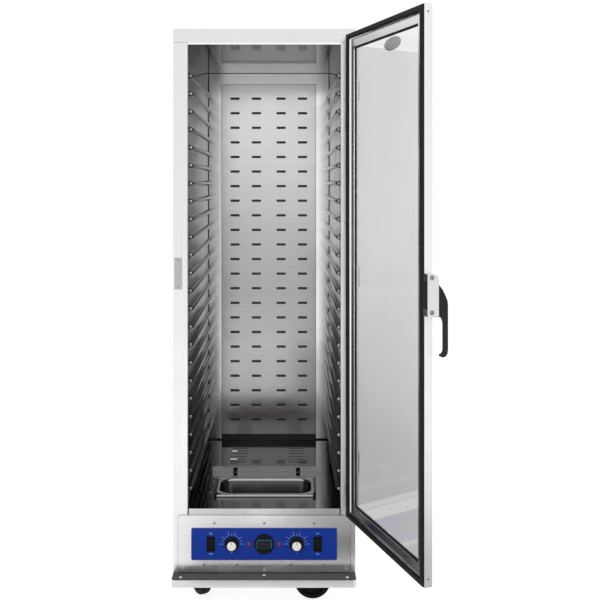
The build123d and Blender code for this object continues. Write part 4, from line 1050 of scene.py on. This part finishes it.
    def wall(self, side: int) -> bpy.types.Mesh:
        """Pressed wall with its row of slides.

        Args:
            side: -1 for the left wall and 1 for the right one.

        Returns:
            The mesh.
        """
        rows = [(self.low, 0.0)]
        for i in reversed(range(self.rib_count)):
            middle = self.rib_top - i * self.rib_pitch
            rows += [(middle + dz, rise) for dz, rise in self.section]
        rows.append((self.high, 0.0))
        stations = [(self.front, 0.0), (self.rib_start - 2.0, 0.0)]
        for i in range(7):
            t = i / 6
            stations.append((self.rib_start + self.rib_hip * t, math.sqrt(1 - (1 - t) ** 2)))
        stations += [(250.0, 1.0), (500.0, 1.0), (766.0, 1.0), (768.0, 0.0), (self.back, 0.0)]
        edit = bmesh.new()
        grid = []
        for y, run in stations:
            column = []
            for z, rise in rows:
                x = side * (self.half - self.rib_reach * rise * run)
                column.append(edit.verts.new((x * MM, y * MM, z * MM)))
            grid.append(column)
        for near, far in zip(grid, grid[1:]):
            for i in range(len(rows) - 1):
                edit.faces.new([near[i], far[i], far[i + 1], near[i + 1]])
        outer_x = side * (self.half + self.sheet) * MM
        (near_low, near_high), (far_low, far_high) = [
            [edit.verts.new((outer_x, y * MM, z * MM)) for z in (self.low, self.high)]
            for y in (self.front, self.back)
        ]
        edit.faces.new([near_low, near_high, far_high, far_low])
        edit.faces.new([*grid[0], near_high, near_low])
        edit.faces.new([*grid[-1], far_high, far_low])
        edit.faces.new([*[column[0] for column in grid], far_low, near_low])
        edit.faces.new([*[column[-1] for column in grid], far_high, near_high])
        bmesh.ops.recalc_face_normals(edit, faces=edit.faces)
        return smooth(mesh_of(edit, "slide_wall"), 50.0)

    def build(self) -> None:
        """Dress the cavity."""
        shop = self.shop
        for side, name in ((-1, "left_slide_wall"), (1, "right_slide_wall")):
            shop.piece(f"{name}_sheet", self.wall(side), "wall_steel", "cabinet", "lining_steel", (name,))
        shop.coat("inner_liner", "liner_steel")
        # painted shade: the lining's faces that look down get a darker finish
        shop.two_toned(frame["nodes"]["inner_liner"].data, "roof_shade_steel", DOWNWARDS)
        self.air_duct()
        # painted shade in the cavity's corners and beside the floor plate
        shop.piece("cavity_shade_strips", self.shade_strips(), "painted_shadow_black", "cabinet", "seal_black")
        # painted highlight: the floor plate's faces that look forwards get a lighter finish than its top
        shop.two_toned(shop.softened("floor_plate", "floor_steel", 0.5), "lip_steel", FORWARDS)
        shop.softened("sensor_guard", "lip_steel", 0.4)
        shop.softened("guard_clips", "black_plastic", 0.3)
        shop.coat("sensor_bulbs", "copper")
        shop.coat("insulation", "wool")

    def air_duct(self) -> None:
        """Duct sheet with painted shadow: a near-black plate in the gap under it, a black line round its edges,
        and a near-black sheet behind its slots as painted shade inside it.
        """
        shop, half, seat, top = self.shop, self.duct_half, self.duct_seat, self.duct_top
        mesh = self.duct()
        even_out(shop.piece("air_duct_sheet", mesh, "duct_steel", "cabinet", "duct_steel", ("air_duct_panel",)))
        # painted shadow: a near-black plate fills the gap under the duct sheet
        before = facing((0.0, self.back - 14.9, 0.0), Facing.FRONT)
        foot = plate("duct_foot_shadow", oblong(half + 0.2, seat, self.duct_low + 1.0), -1.0, before)
        shop.piece("duct_foot_shadow", foot, "painted_shadow_steel", "cabinet", "duct_steel")
        # painted shadow: a black line round the duct's edges
        round_it = facing((0.0, self.back - 13.2, 0.0), Facing.FRONT)
        outer, inner = oblong(half + 1.4, seat, top + 1.4), oblong(half, seat, top)
        edge = banded("duct_shadow_line", outer, inner, 0.6, round_it)
        shop.piece("duct_shadow_line", edge, "painted_shadow_black", "cabinet", "seal_black")
        # painted shade: a near-black sheet behind the slots stands in for the shade inside the duct
        behind = facing((0.0, self.back - 9.0, 0.0), Facing.FRONT)
        inside = plate("duct_inside_shade", oblong(half - 2.0, 360.0, top - 10.0), -0.5, behind)
        shop.piece("duct_inside_shade", inside, "painted_shadow_steel", "cabinet", "duct_steel")


@dataclass
class WaterPan:
    """Drawn water pan with its rolled rim, and the well under it."""

    shop: Workshop
    centre_y: float = 186.5
    rim_z: float = 327.0
    rim_depth: float = 5.0
    inside_half: float = 146.0
    sections: Sequence[tuple[float, float, float, float]] = (
        (325.0, 176.0, 14.0, -8.3),
        (325.0, 176.0, 14.0, -1.6),
        (324.2, 175.2, 13.6, -0.5),
        (322.4, 173.4, 12.8, 0.0),
        (301.0, 151.0, 46.0, 0.0),
        (298.4, 148.4, 45.0, -0.6),
        (296.0, 146.0, 44.0, -2.6),
        (294.6, 144.6, 43.0, -6.0),
        (281.0, 131.0, 41.0, -48.0),
        (276.0, 126.0, 40.0, -56.5),
        (266.0, 116.0, 38.0, -62.4),
        (250.0, 100.0, 32.0, -64.8),
        (120.0, 44.0, 16.0, -65.0),
    )

    def pan(self) -> bpy.types.Mesh:
        """The pan as one drawn sheet."""
        edit = bmesh.new()
        rings = []
        for width, depth, radius, drop in self.sections:
            outline = rounded(width, depth, radius, 8)
            rings.append([edit.verts.new((x * MM, y * MM, drop * MM)) for x, y in outline])
        bridge(edit, rings)
        edit.faces.new(rings[-1])
        bmesh.ops.recalc_face_normals(edit, faces=edit.faces)
        top = max(edit.faces, key=lambda f: f.calc_center_median().z if len(f.verts) == 4 else -1)
        if top.normal.z < 0:
            bmesh.ops.reverse_faces(edit, faces=edit.faces)
        bmesh.ops.solidify(edit, geom=list(edit.faces), thickness=0.0009)
        edit.transform(Matrix.Translation((0, self.centre_y * MM, self.rim_z * MM)))
        return smooth(mesh_of(edit, "water_pan_sheet"), 50.0)

    def build(self) -> None:
        """Dress the pan, its well and its heater."""
        sheet = self.pan()
        self.shop.piece("water_pan_sheet", sheet, "pan_steel", "water_pan", "pan_steel", ("water_pan",))
        # painted shade: faces of the basin below the rim get a darker finish
        sheet.materials.append(self.shop.finishes["pan_basin_shade"])
        under, side = (self.rim_z - self.rim_depth) * MM, self.inside_half * MM
        for face in sheet.polygons:
            if face.center.z < under and abs(face.center.x) < side:
                face.material_index = 1
        self.shop.softened("pan_well", "floor_steel", 0.4)
        self.shop.coat("pan_heater", "heater_steel")


@dataclass
class Controls:
    """Control panel with its label, knobs, rockers, lamps and thermometer."""

    shop: Workshop
    level: float = 209.3
    label_face: float = -2.3
    knob_x: float = 99.5
    lamp_x: float = 46.2
    rocker_x: float = 163.9
    print_lift: float = 0.04
    dial_front: float = 4.0
    window_proud: float = 0.24
    knob_grip: Outline = (
        (3.05, 0.0), (21.6, 0.0), (22.4, 0.5), (22.4, 1.8), (21.4, 3.2), (19.4, 4.0), (17.2, 4.6),
        (16.4, 5.6), (16.1, 8.0), (15.9, 16.6), (15.3, 18.2), (14.2, 18.8), (13.2, 18.8),
    )
    knob_disc: Outline = ((0.0, 18.7), (13.6, 18.7), (13.6, 19.0), (13.0, 19.35), (11.8, 19.5), (0.0, 19.5))
    knob_top: float = 19.5
    knob_steps: int = 96
    flutes: int = 8
    flute_depth: float = 1.7
    lamp_profile: Outline = (
        (0.0, -24.0), (4.6, -24.0), (4.6, 0.0), (5.8, 0.0), (5.8, 0.9), (5.2, 1.6), (4.6, 2.7), (3.4, 3.5),
        (1.8, 3.9), (0.0, 4.0),
    )
    dial_profile: Outline = (
        (0.0, -26.0), (25.8, -26.0), (25.8, 0.0), (31.0, 0.0), (31.0, 1.4), (30.4, 2.6), (29.2, 3.6),
        (27.8, 3.9), (25.4, 3.6), (24.8, 2.9), (0.0, 2.9),
    )

    def printed(self, x: float, z: float) -> Matrix:
        """Place of a print on the label."""
        return facing((x, self.label_face - self.print_lift, z), Facing.FRONT)

    def scale(self, x: float) -> list[bpy.types.Mesh]:
        """Tick marks and figures round a knob.

        Args:
            x: the knob's place across the panel.

        Returns:
            The meshes of the marks.
        """
        marks = []
        for i in range(11):
            a = math.radians(180 - 18 * i)
            inner, outer = 26.0, 31.5 if i % 2 else 33.0
            along, across = Vector((math.cos(a), math.sin(a))), Vector((-math.sin(a), math.cos(a))) * 0.45
            corners = [along * inner - across, along * outer - across, along * outer + across,
                       along * inner + across]
            marks.append(plate("tick", [tuple(c) for c in corners], 0.03, self.printed(x, self.level)))
            if i % 2 == 0:
                spot = along * 37.0
                marks.append(lettering(str(i // 2), 5.0, self.printed(x + spot.x, self.level + spot.y)))
        marks.append(lettering("0", 5.0, self.printed(x, self.level - 28.5)))
        return marks

    def knob(self, side: str, x: float) -> None:
        """Fluted knob with a pale cap and a pointer line.

        Args:
            side: left or right.
            x: its place across the panel.
        """
        place = facing((x, self.label_face - 0.6, self.level), Facing.FRONT)
        edit = bmesh.new()
        rings = []
        for radius, height in self.knob_grip:
            ring = []
            for i in range(self.knob_steps):
                a = 2 * math.pi * i / self.knob_steps
                flute = 0.5 + 0.5 * math.cos(self.flutes * a)
                fluted = radius < 17.0 and 5.0 < height < 18.5
                reach = (radius - (self.flute_depth * flute ** 3 if fluted else 0.0)) * MM
                ring.append(edit.verts.new((reach * math.cos(a), reach * math.sin(a), height * MM)))
            rings.append(ring)
        bridge(edit, rings)
        edit.faces.new(rings[-1])
        bmesh.ops.recalc_face_normals(edit, faces=edit.faces)
        edit.transform(place)
        body = f"{side}_knob"
        grip = smooth(mesh_of(edit, f"{body}_grip"), 50.0)
        self.shop.piece(f"{body}_grip", grip, "black_plastic", body, "black_plastic", (body,))
        cap = turned(f"{body}_cap", self.knob_disc, place)
        self.shop.piece(f"{body}_cap", cap, "knob_cap", body, "black_plastic")
        line = plate(f"{body}_line", oblong(0.7, 4.0, 13.0), 0.03,
                     place @ Matrix.Translation((0, 0, self.knob_top * MM)))
        self.shop.piece(f"{body}_line", line, "black_plastic", body, "black_plastic")

    def digits(self) -> bpy.types.Mesh:
        """Four dim figures of the display, each with all of its seven bars."""
        bars = [(0, 1, True), (0, 0, True), (0, -1, True), (-1, 0.5, False), (1, 0.5, False), (-1, -0.5, False),
                (1, -0.5, False)]
        face = self.label_face - self.dial_front + self.window_proud
        parts = []
        for i in range(4):
            centre = -15.0 + 10.0 * i
            for bx, bz, level in bars:
                w, h = (5.0, 1.0) if level else (1.0, 6.2)
                spot = (centre + bx * 3.0, face - 0.02, self.level + bz * 7.4)
                parts.append(plate("bar", rounded(w, h, 0.45, 2), 0.02, facing(spot, Facing.FRONT)))
        return joined("display_digits", parts)

    def build(self) -> None:
        """Dress the panel and everything on it."""
        shop = self.shop
        shop.softened("control_panel", "panel_steel", 0.5)
        shop.softened("control_label", "label_blue", 0.1)
        line = banded("panel_shadow", rounded(531.8, 176.6, 6.9), rounded(530.0, 174.8, 6.0), 0.25,
                      facing((0.0, 0.0, 209.9), Facing.FRONT))
        shop.piece("panel_shadow", line, "painted_shadow_black", "cabinet", "seal_black")
        border = banded("label_border", rounded(448.6, 99.6, 5.8), rounded(446.4, 97.4, 5.0), 0.03,
                        self.printed(0.0, self.level))
        shop.piece("label_border", border, "label_gold", "cabinet", "label_blue")
        marks = self.scale(-self.knob_x) + self.scale(self.knob_x)
        for sign in (-1, 1):
            for text, lift in (("ON", 32.0), ("OFF", -31.0)):
                marks.append(lettering(text, 6.0, self.printed(sign * self.rocker_x, self.level + lift)))
        shop.piece("label_print", joined("label_print", marks), "print_pale", "cabinet", "label_blue")
        for side, sign in (("left", -1), ("right", 1)):
            self.knob(side, sign * self.knob_x)
            shop.softened(f"{side}_rocker", "black_plastic", 0.8, 3)
        shop.softened("switch_housings", "black_plastic", 0.6, 3)
        shop.coat("thermostats", "component_grey")
        self.lamps()
        self.thermometer()

    def lamps(self) -> None:
        """Indicator lamps with domed lenses and their bodies behind the panel."""
        parts = []
        for sign in (-1, 1):
            place = facing((sign * self.lamp_x, self.label_face, self.level), Facing.FRONT)
            parts.append(turned("lamp", self.lamp_profile, place, 36))
        mesh = joined("indicator_lenses", parts)
        self.shop.piece("indicator_lenses", mesh, "lamp_red", "cabinet", "lamp_amber", ("indicator_lamps",))

    def thermometer(self) -> None:
        """Round thermometer with its display."""
        shop = self.shop
        place = facing((0.0, self.label_face, self.level), Facing.FRONT)
        case = turned("thermometer_case", self.dial_profile, place, 64)
        shop.piece("thermometer_case", case, "black_plastic", "cabinet", "black_plastic", ("thermometer_body",))
        window = banded("display_frame", rounded(45.4, 25.4, 1.6), rounded(41.4, 21.4, 1.2), 0.12,
                        facing((0.0, self.label_face - 2.9, self.level), Facing.FRONT))
        shop.piece("display_frame", window, "segment_cyan", "cabinet", "window")
        shop.softened("thermometer_window", "window_dark", 0.1)
        shop.piece("display_digits", self.digits(), "segment_red", "cabinet", "window")


@dataclass
class Door:
    """Glazed door with its gasket, badge, hinges and latch."""

    shop: Workshop
    hinge: tuple[float, float] = (275.0, -30.0)
    opened: float = 107.8
    face: float = -29.0
    free_x: float = -248.2
    bottom: float = 305.0
    top: float = 1770.0
    thick: float = 22.0
    screw_inset: float = 21.0
    badge_at: tuple[float, float] = (-30.6, 1699.0)
    badge_half: tuple[float, float] = (55.0, 18.0)
    badge_steps: int = 64
    badge_rings: Outline = ((1.0, 0.0), (1.0, 0.8), (0.985, 1.05), (0.94, 1.05), (0.925, 0.8), (0.0, 0.8))
    latch_side: float = 26.3
    latch_screws: Sequence[float] = (997.0, 1084.0)

    def swung(self) -> Matrix:
        """Matrix that takes a piece of the shut door to its place at rest."""
        axis = Vector((*self.hinge, 0.0)) * MM
        turn = Matrix.Rotation(math.radians(self.opened), 4, "Z")
        return Matrix.Translation(axis) @ turn @ Matrix.Translation(-axis)

    def edge_screw(self, spot: Point, radius: float, height: float) -> bpy.types.Mesh:
        """Screw head that looks out of the door's free edge.

        Args:
            spot: its place on the shut door in millimetres.
            radius: head radius.
            height: head height.

        Returns:
            The mesh.
        """
        outwards = Matrix.Rotation(-math.pi / 2, 4, "Y")
        return pan_head("head", radius, height, self.swung() @ Matrix.Translation(Vector(spot) * MM) @ outwards)

    def badge(self) -> bpy.types.Mesh:
        """Blank oval badge with a raised rim."""
        half_w, half_h = self.badge_half
        edit = bmesh.new()
        rings = []
        for share, lift in self.badge_rings:
            ring = []
            for i in range(self.badge_steps):
                a = 2 * math.pi * i / self.badge_steps
                x, z = half_w * share * math.cos(a), half_h * share * math.sin(a)
                ring.append(edit.verts.new((x * MM, z * MM, lift * MM)))
            rings.append(ring)
        bridge(edit, rings)
        bmesh.ops.remove_doubles(edit, verts=edit.verts, dist=0.000001)
        bmesh.ops.recalc_face_normals(edit, faces=edit.faces)
        x, z = self.badge_at
        edit.transform(self.swung() @ facing((x, self.face + 8.7, z), Facing.FRONT))
        return smooth(mesh_of(edit, "badge_oval"), 30.0)

    def build(self) -> None:
        """Dress the door."""
        shop = self.shop
        inwards = tuple(self.swung().to_3x3() @ Vector((0.0, 1.0, 0.0)))
        # painted shade: faces that look into the cabinet get a finish that darkens strongly towards the foot
        shop.two_toned(shop.softened("door_frame", "door_aluminium", 0.5), "door_inside", inwards)
        shop.coat("door_glass", "door_glass")
        shop.coat("glazing_seal", "gasket_black")
        shop.softened("door_gasket", "gasket_black", 0.9, 3, 25.0)
        shop.piece("badge_oval", self.badge(), "badge_grey", "door", "badge_grey", ("badge_plate",))
        shop.softened("hinge_door_leaves", "hinge_steel", 0.4)
        shop.softened("hinge_casing_leaves", "hinge_steel", 0.4)
        shop.coat("hinge_pins", "screw_steel")
        middle = self.face + self.thick / 2
        heights = (self.top - self.screw_inset, self.bottom + self.screw_inset)
        heads = [self.edge_screw((self.free_x, middle, z), 3.0, 0.9) for z in heights]
        # painted shade: the door's edge screws get the darker screw steel
        shop.piece("door_edge_screws", joined("door_edge_screws", heads), "shaded_screw_steel", "door", "screw_steel")
        self.latch()

    def latch(self) -> None:
        """Latch housing with its screws, the magnet and the lever."""
        shop = self.shop
        shop.softened("latch_housing", "latch_chrome", 1.2, 3)
        shop.softened("latch_magnet", "lever_black", 0.6)
        shop.softened("latch_lever", "lever_black", 1.4, 3)
        side_x, side_y = self.free_x - self.latch_side, self.face + 13.9
        heads = [self.edge_screw((side_x, side_y, z), 6.4, 3.0) for z in self.latch_screws]
        # painted shade: the latch screws get the darker screw steel
        shop.piece("latch_screws", joined("latch_screws", heads), "shaded_screw_steel", "door", "screw_steel")


@dataclass
class Casters:
    """Four swivel casters."""

    shop: Workshop
    radius: float = 58.0
    width: float = 32.0
    trail: float = 38.0
    tyre_side: Outline = ((42.1, 0.0), (51.0, 0.0), (53.6, 0.6), (55.6, 2.4), (57.2, 5.4), (57.9, 9.0))
    hub_side: Outline = (
        (5.1, 0.0), (10.0, 0.0), (12.6, 0.8), (13.0, 7.0), (15.0, 8.6), (33.0, 8.6), (35.0, 6.0),
        (40.0, 5.4), (42.0, 7.0),
    )
    spots: Sequence[tuple[str, float, float, float]] = (
        ("front_left", -189.0, 100.0, 118.0),
        ("front_right", 189.0, 100.0, 178.0),
        ("rear_left", -189.0, 721.0, 35.0),
        ("rear_right", 189.0, 721.0, 140.0),
    )

    def across(self, side: Outline, tread: Outline = ()) -> Outline:
        """Closed profile across a wheel.

        Args:
            side: radius and inset from the wheel's side, for the points of one side.
            tread: points between the two sides.

        Returns:
            Radius and height of each point.
        """
        half = self.width / 2
        near = [(radius, -half + inset) for radius, inset in side]
        far = [(radius, half - inset) for radius, inset in reversed(side)]
        return [*near, *tread, *far, near[0]]

    def wheel(self, name: str, x: float, y: float, yaw: float) -> None:
        """Tyre and hub of one wheel.

        Args:
            name: the caster's name.
            x: swivel place across.
            y: swivel place from the front.
            yaw: direction in degrees in which the wheel trails.
        """
        a = math.radians(yaw)
        centre = Vector((x + self.trail * math.cos(a), y + self.trail * math.sin(a), self.radius)) * MM
        place = Matrix.Translation(centre) @ Matrix.Rotation(a, 4, "Z") @ Matrix.Rotation(math.pi / 2, 4, "X")
        body = f"{name}_wheel"
        tyre = turned(f"{name}_tyre", self.across(self.tyre_side, [(self.radius, 0.0)]), place, 72)
        self.shop.piece(f"{name}_tyre", tyre, "tyre_black", body, "wheel_black", (body,))
        hub = turned(f"{name}_hub", self.across(self.hub_side), place, 48)
        self.shop.piece(f"{name}_hub", hub, "hub_black", body, "wheel_black")

    def build(self) -> None:
        """Dress the casters."""
        for name, x, y, yaw in self.spots:
            self.wheel(name, x, y, yaw)
            self.shop.softened(f"{name}_fork", "fork_zinc", 0.6)
        self.shop.softened("caster_plates", "zinc", 0.5)
        self.shop.coat("caster_bolts", "screw_steel")


@dataclass
class Underfloor:
    """What is under the cavity floor."""

    shop: Workshop
    coats: Sequence[tuple[str, str]] = (
        ("base_pan", "zinc"),
        ("caster_rails", "zinc"),
        ("blower_housing", "zinc"),
        ("blower_motor", "component_grey"),
        ("fan_wheel", "component_grey"),
        ("air_heater", "heater_steel"),
        ("terminal_block", "black_plastic"),
    )

    def build(self) -> None:
        """Coat the hidden parts and round the gland."""
        for node, finish in self.coats:
            self.shop.coat(node, finish)
        self.shop.softened("cord_gland", "black_plastic", 0.8)


@dataclass
class Studio:
    """Floor, backdrop, lights and camera."""

    camera_at: Point = (0.0669, -2.8767, 1.321)
    lens: float = 56.15
    shift: tuple[float, float] = (0.0233, -0.1965)
    lights: Sequence[tuple[str, Point, Point, float, float]] = (
        ("key", (-2.6, -3.4, 3.4), (0.0, 0.2, 0.9), 2.6, 90.0),
        ("fill", (3.4, -3.0, 2.4), (0.0, 0.2, 0.9), 2.6, 60.0),
        ("front", (0.0, -4.4, 1.6), (0.0, 0.4, 0.9), 2.2, 45.0),
    )
    cards: Sequence[tuple[str, float, float, float, float, float]] = (
        ("near_card", -0.25, 0.9, -0.66, -0.36, 0.06),
        ("side_card", 0.12, 1.5, -3.6, -0.55, 0.45),
    )

    def build(self) -> None:
        """Set up the picture."""
        self.camera()
        self.world()
        self.floor()
        for name, at, to, size, power in self.lights:
            self.light(name, at, to, size, power)
        for name, x0, x1, y0, y1, grey in self.cards:
            self.card(name, x0, x1, y0, y1, grey)
        bpy.context.scene.view_settings.view_transform = "Standard"

    def camera(self) -> None:
        """Camera at the photograph's place."""
        data = bpy.data.cameras.new("camera")
        data.sensor_width = 36.0
        data.lens = self.lens
        data.shift_x, data.shift_y = self.shift
        data.clip_end = 200.0
        obj = bpy.data.objects.new("camera", data)
        obj.location = self.camera_at
        obj.rotation_euler = (math.pi / 2, 0.0, 0.0)
        bpy.context.scene.collection.objects.link(obj)
        bpy.context.scene.camera = obj

    def seen(self, nodes: bpy.types.Nodes, links: bpy.types.NodeLinks) -> bpy.types.NodeSocket:
        """Factor that is 1 for camera, glossy and transmission rays.

        Args:
            nodes: nodes of the tree.
            links: links of the tree.

        Returns:
            The factor's socket.
        """
        path = nodes.new("ShaderNodeLightPath")
        total = path.outputs["Is Camera Ray"]
        for label in ("Is Glossy Ray", "Is Transmission Ray"):
            add = nodes.new("ShaderNodeMath")
            add.operation = "MAXIMUM"
            links.new(total, add.inputs[0])
            links.new(path.outputs[label], add.inputs[1])
            total = add.outputs[0]
        return total

    def world(self) -> None:
        """White surroundings, and a softer white as light."""
        world = bpy.data.worlds.new("studio")
        bpy.context.scene.world = world
        world.use_nodes = True
        nodes, links = world.node_tree.nodes, world.node_tree.links
        nodes.clear()
        light = nodes.new("ShaderNodeBackground")
        light.inputs["Color"].default_value = (1.0, 1.0, 1.0, 1.0)
        light.inputs["Strength"].default_value = 0.55
        shown = nodes.new("ShaderNodeBackground")
        shown.inputs["Color"].default_value = (1.0, 1.0, 1.0, 1.0)
        mix = nodes.new("ShaderNodeMixShader")
        links.new(self.seen(nodes, links), mix.inputs["Fac"])
        links.new(light.outputs["Background"], mix.inputs[1])
        links.new(shown.outputs["Background"], mix.inputs[2])
        out = nodes.new("ShaderNodeOutputWorld")
        links.new(mix.outputs["Shader"], out.inputs["Surface"])

    def floor(self) -> None:
        """Plain pale floor that keeps the shadow."""
        mesh = plate("floor", oblong(9000.0, -9000.0, 9000.0), -2.0, Matrix.Translation((0, 0, -0.0005)))
        obj = bpy.data.objects.new("floor", mesh)
        bpy.context.scene.collection.objects.link(obj)
        material = bpy.data.materials.new("floor_paint")
        material.use_nodes = True
        nodes, links = material.node_tree.nodes, material.node_tree.links
        paint = nodes["Principled BSDF"]
        paint.inputs["Base Color"].default_value = (0.82, 0.82, 0.82, 1.0)
        paint.inputs["Roughness"].default_value = 0.9
        paint.inputs["Specular IOR Level"].default_value = 0.0
        glow = nodes.new("ShaderNodeEmission")
        glow.inputs["Strength"].default_value = 0.84
        shaded = nodes.new("ShaderNodeBsdfDiffuse")
        shaded.inputs["Color"].default_value = (0.34, 0.34, 0.34, 1.0)
        both = nodes.new("ShaderNodeAddShader")
        links.new(glow.outputs["Emission"], both.inputs[0])
        links.new(shaded.outputs["BSDF"], both.inputs[1])
        mix = nodes.new("ShaderNodeMixShader")
        links.new(self.seen(nodes, links), mix.inputs["Fac"])
        links.new(paint.outputs["BSDF"], mix.inputs[1])
        links.new(both.outputs["Shader"], mix.inputs[2])
        links.new(mix.outputs["Shader"], nodes["Material Output"].inputs["Surface"])
        mesh.materials.append(material)

    def light(self, name: str, at: Point, to: Point, size: float, power: float) -> None:
        """Square soft light.

        Args:
            name: its name.
            at: where it stands.
            to: what it points at.
            size: its side in metres.
            power: its power in watts.
        """
        data = bpy.data.lights.new(name, "AREA")
        data.size = size
        data.energy = power
        obj = bpy.data.objects.new(name, data)
        obj.location = at
        obj.rotation_euler = (Vector(to) - Vector(at)).to_track_quat("-Z", "Y").to_euler()
        obj.visible_glossy = False
        bpy.context.scene.collection.objects.link(obj)

    def card(self, name: str, x0: float, x1: float, y0: float, y1: float, grey: float) -> None:
        """Dark card on the floor that only shows in reflections, as a studio's own floor does.

        Args:
            name: its name.
            x0: left edge in metres.
            x1: right edge.
            y0: far edge.
            y1: near edge.
            grey: its tone.
        """
        outline = [(x0 / MM, y0 / MM), (x1 / MM, y0 / MM), (x1 / MM, y1 / MM), (x0 / MM, y1 / MM)]
        mesh = plate(name, outline, -0.5, Matrix.Translation((0, 0, 0.001)))
        obj = bpy.data.objects.new(name, mesh)
        bpy.context.scene.collection.objects.link(obj)
        material = bpy.data.materials.new(name)
        material.use_nodes = True
        paint = material.node_tree.nodes["Principled BSDF"]
        paint.inputs["Base Color"].default_value = (grey, grey, grey, 1.0)
        paint.inputs["Roughness"].default_value = 1.0
        mesh.materials.append(material)
        for ray in ("camera", "diffuse", "transmission", "shadow"):
            setattr(obj, f"visible_{ray}", False)


def main() -> None:
    """Build the studio and dress the cabinet."""
    logging.basicConfig(level=logging.INFO, format="%(name)s: %(message)s")
    Studio().build()
    shop = Workshop(Finishes())
    for part in (Casing(shop), Cavity(shop), WaterPan(shop), Controls(shop), Door(shop), Casters(shop),
                 Underfloor(shop)):
        part.build()
        LOG.info("%s done", type(part).__name__)
    LOG.info("%d pieces in all", shop.count)


if __name__ == "__main__":
    main()
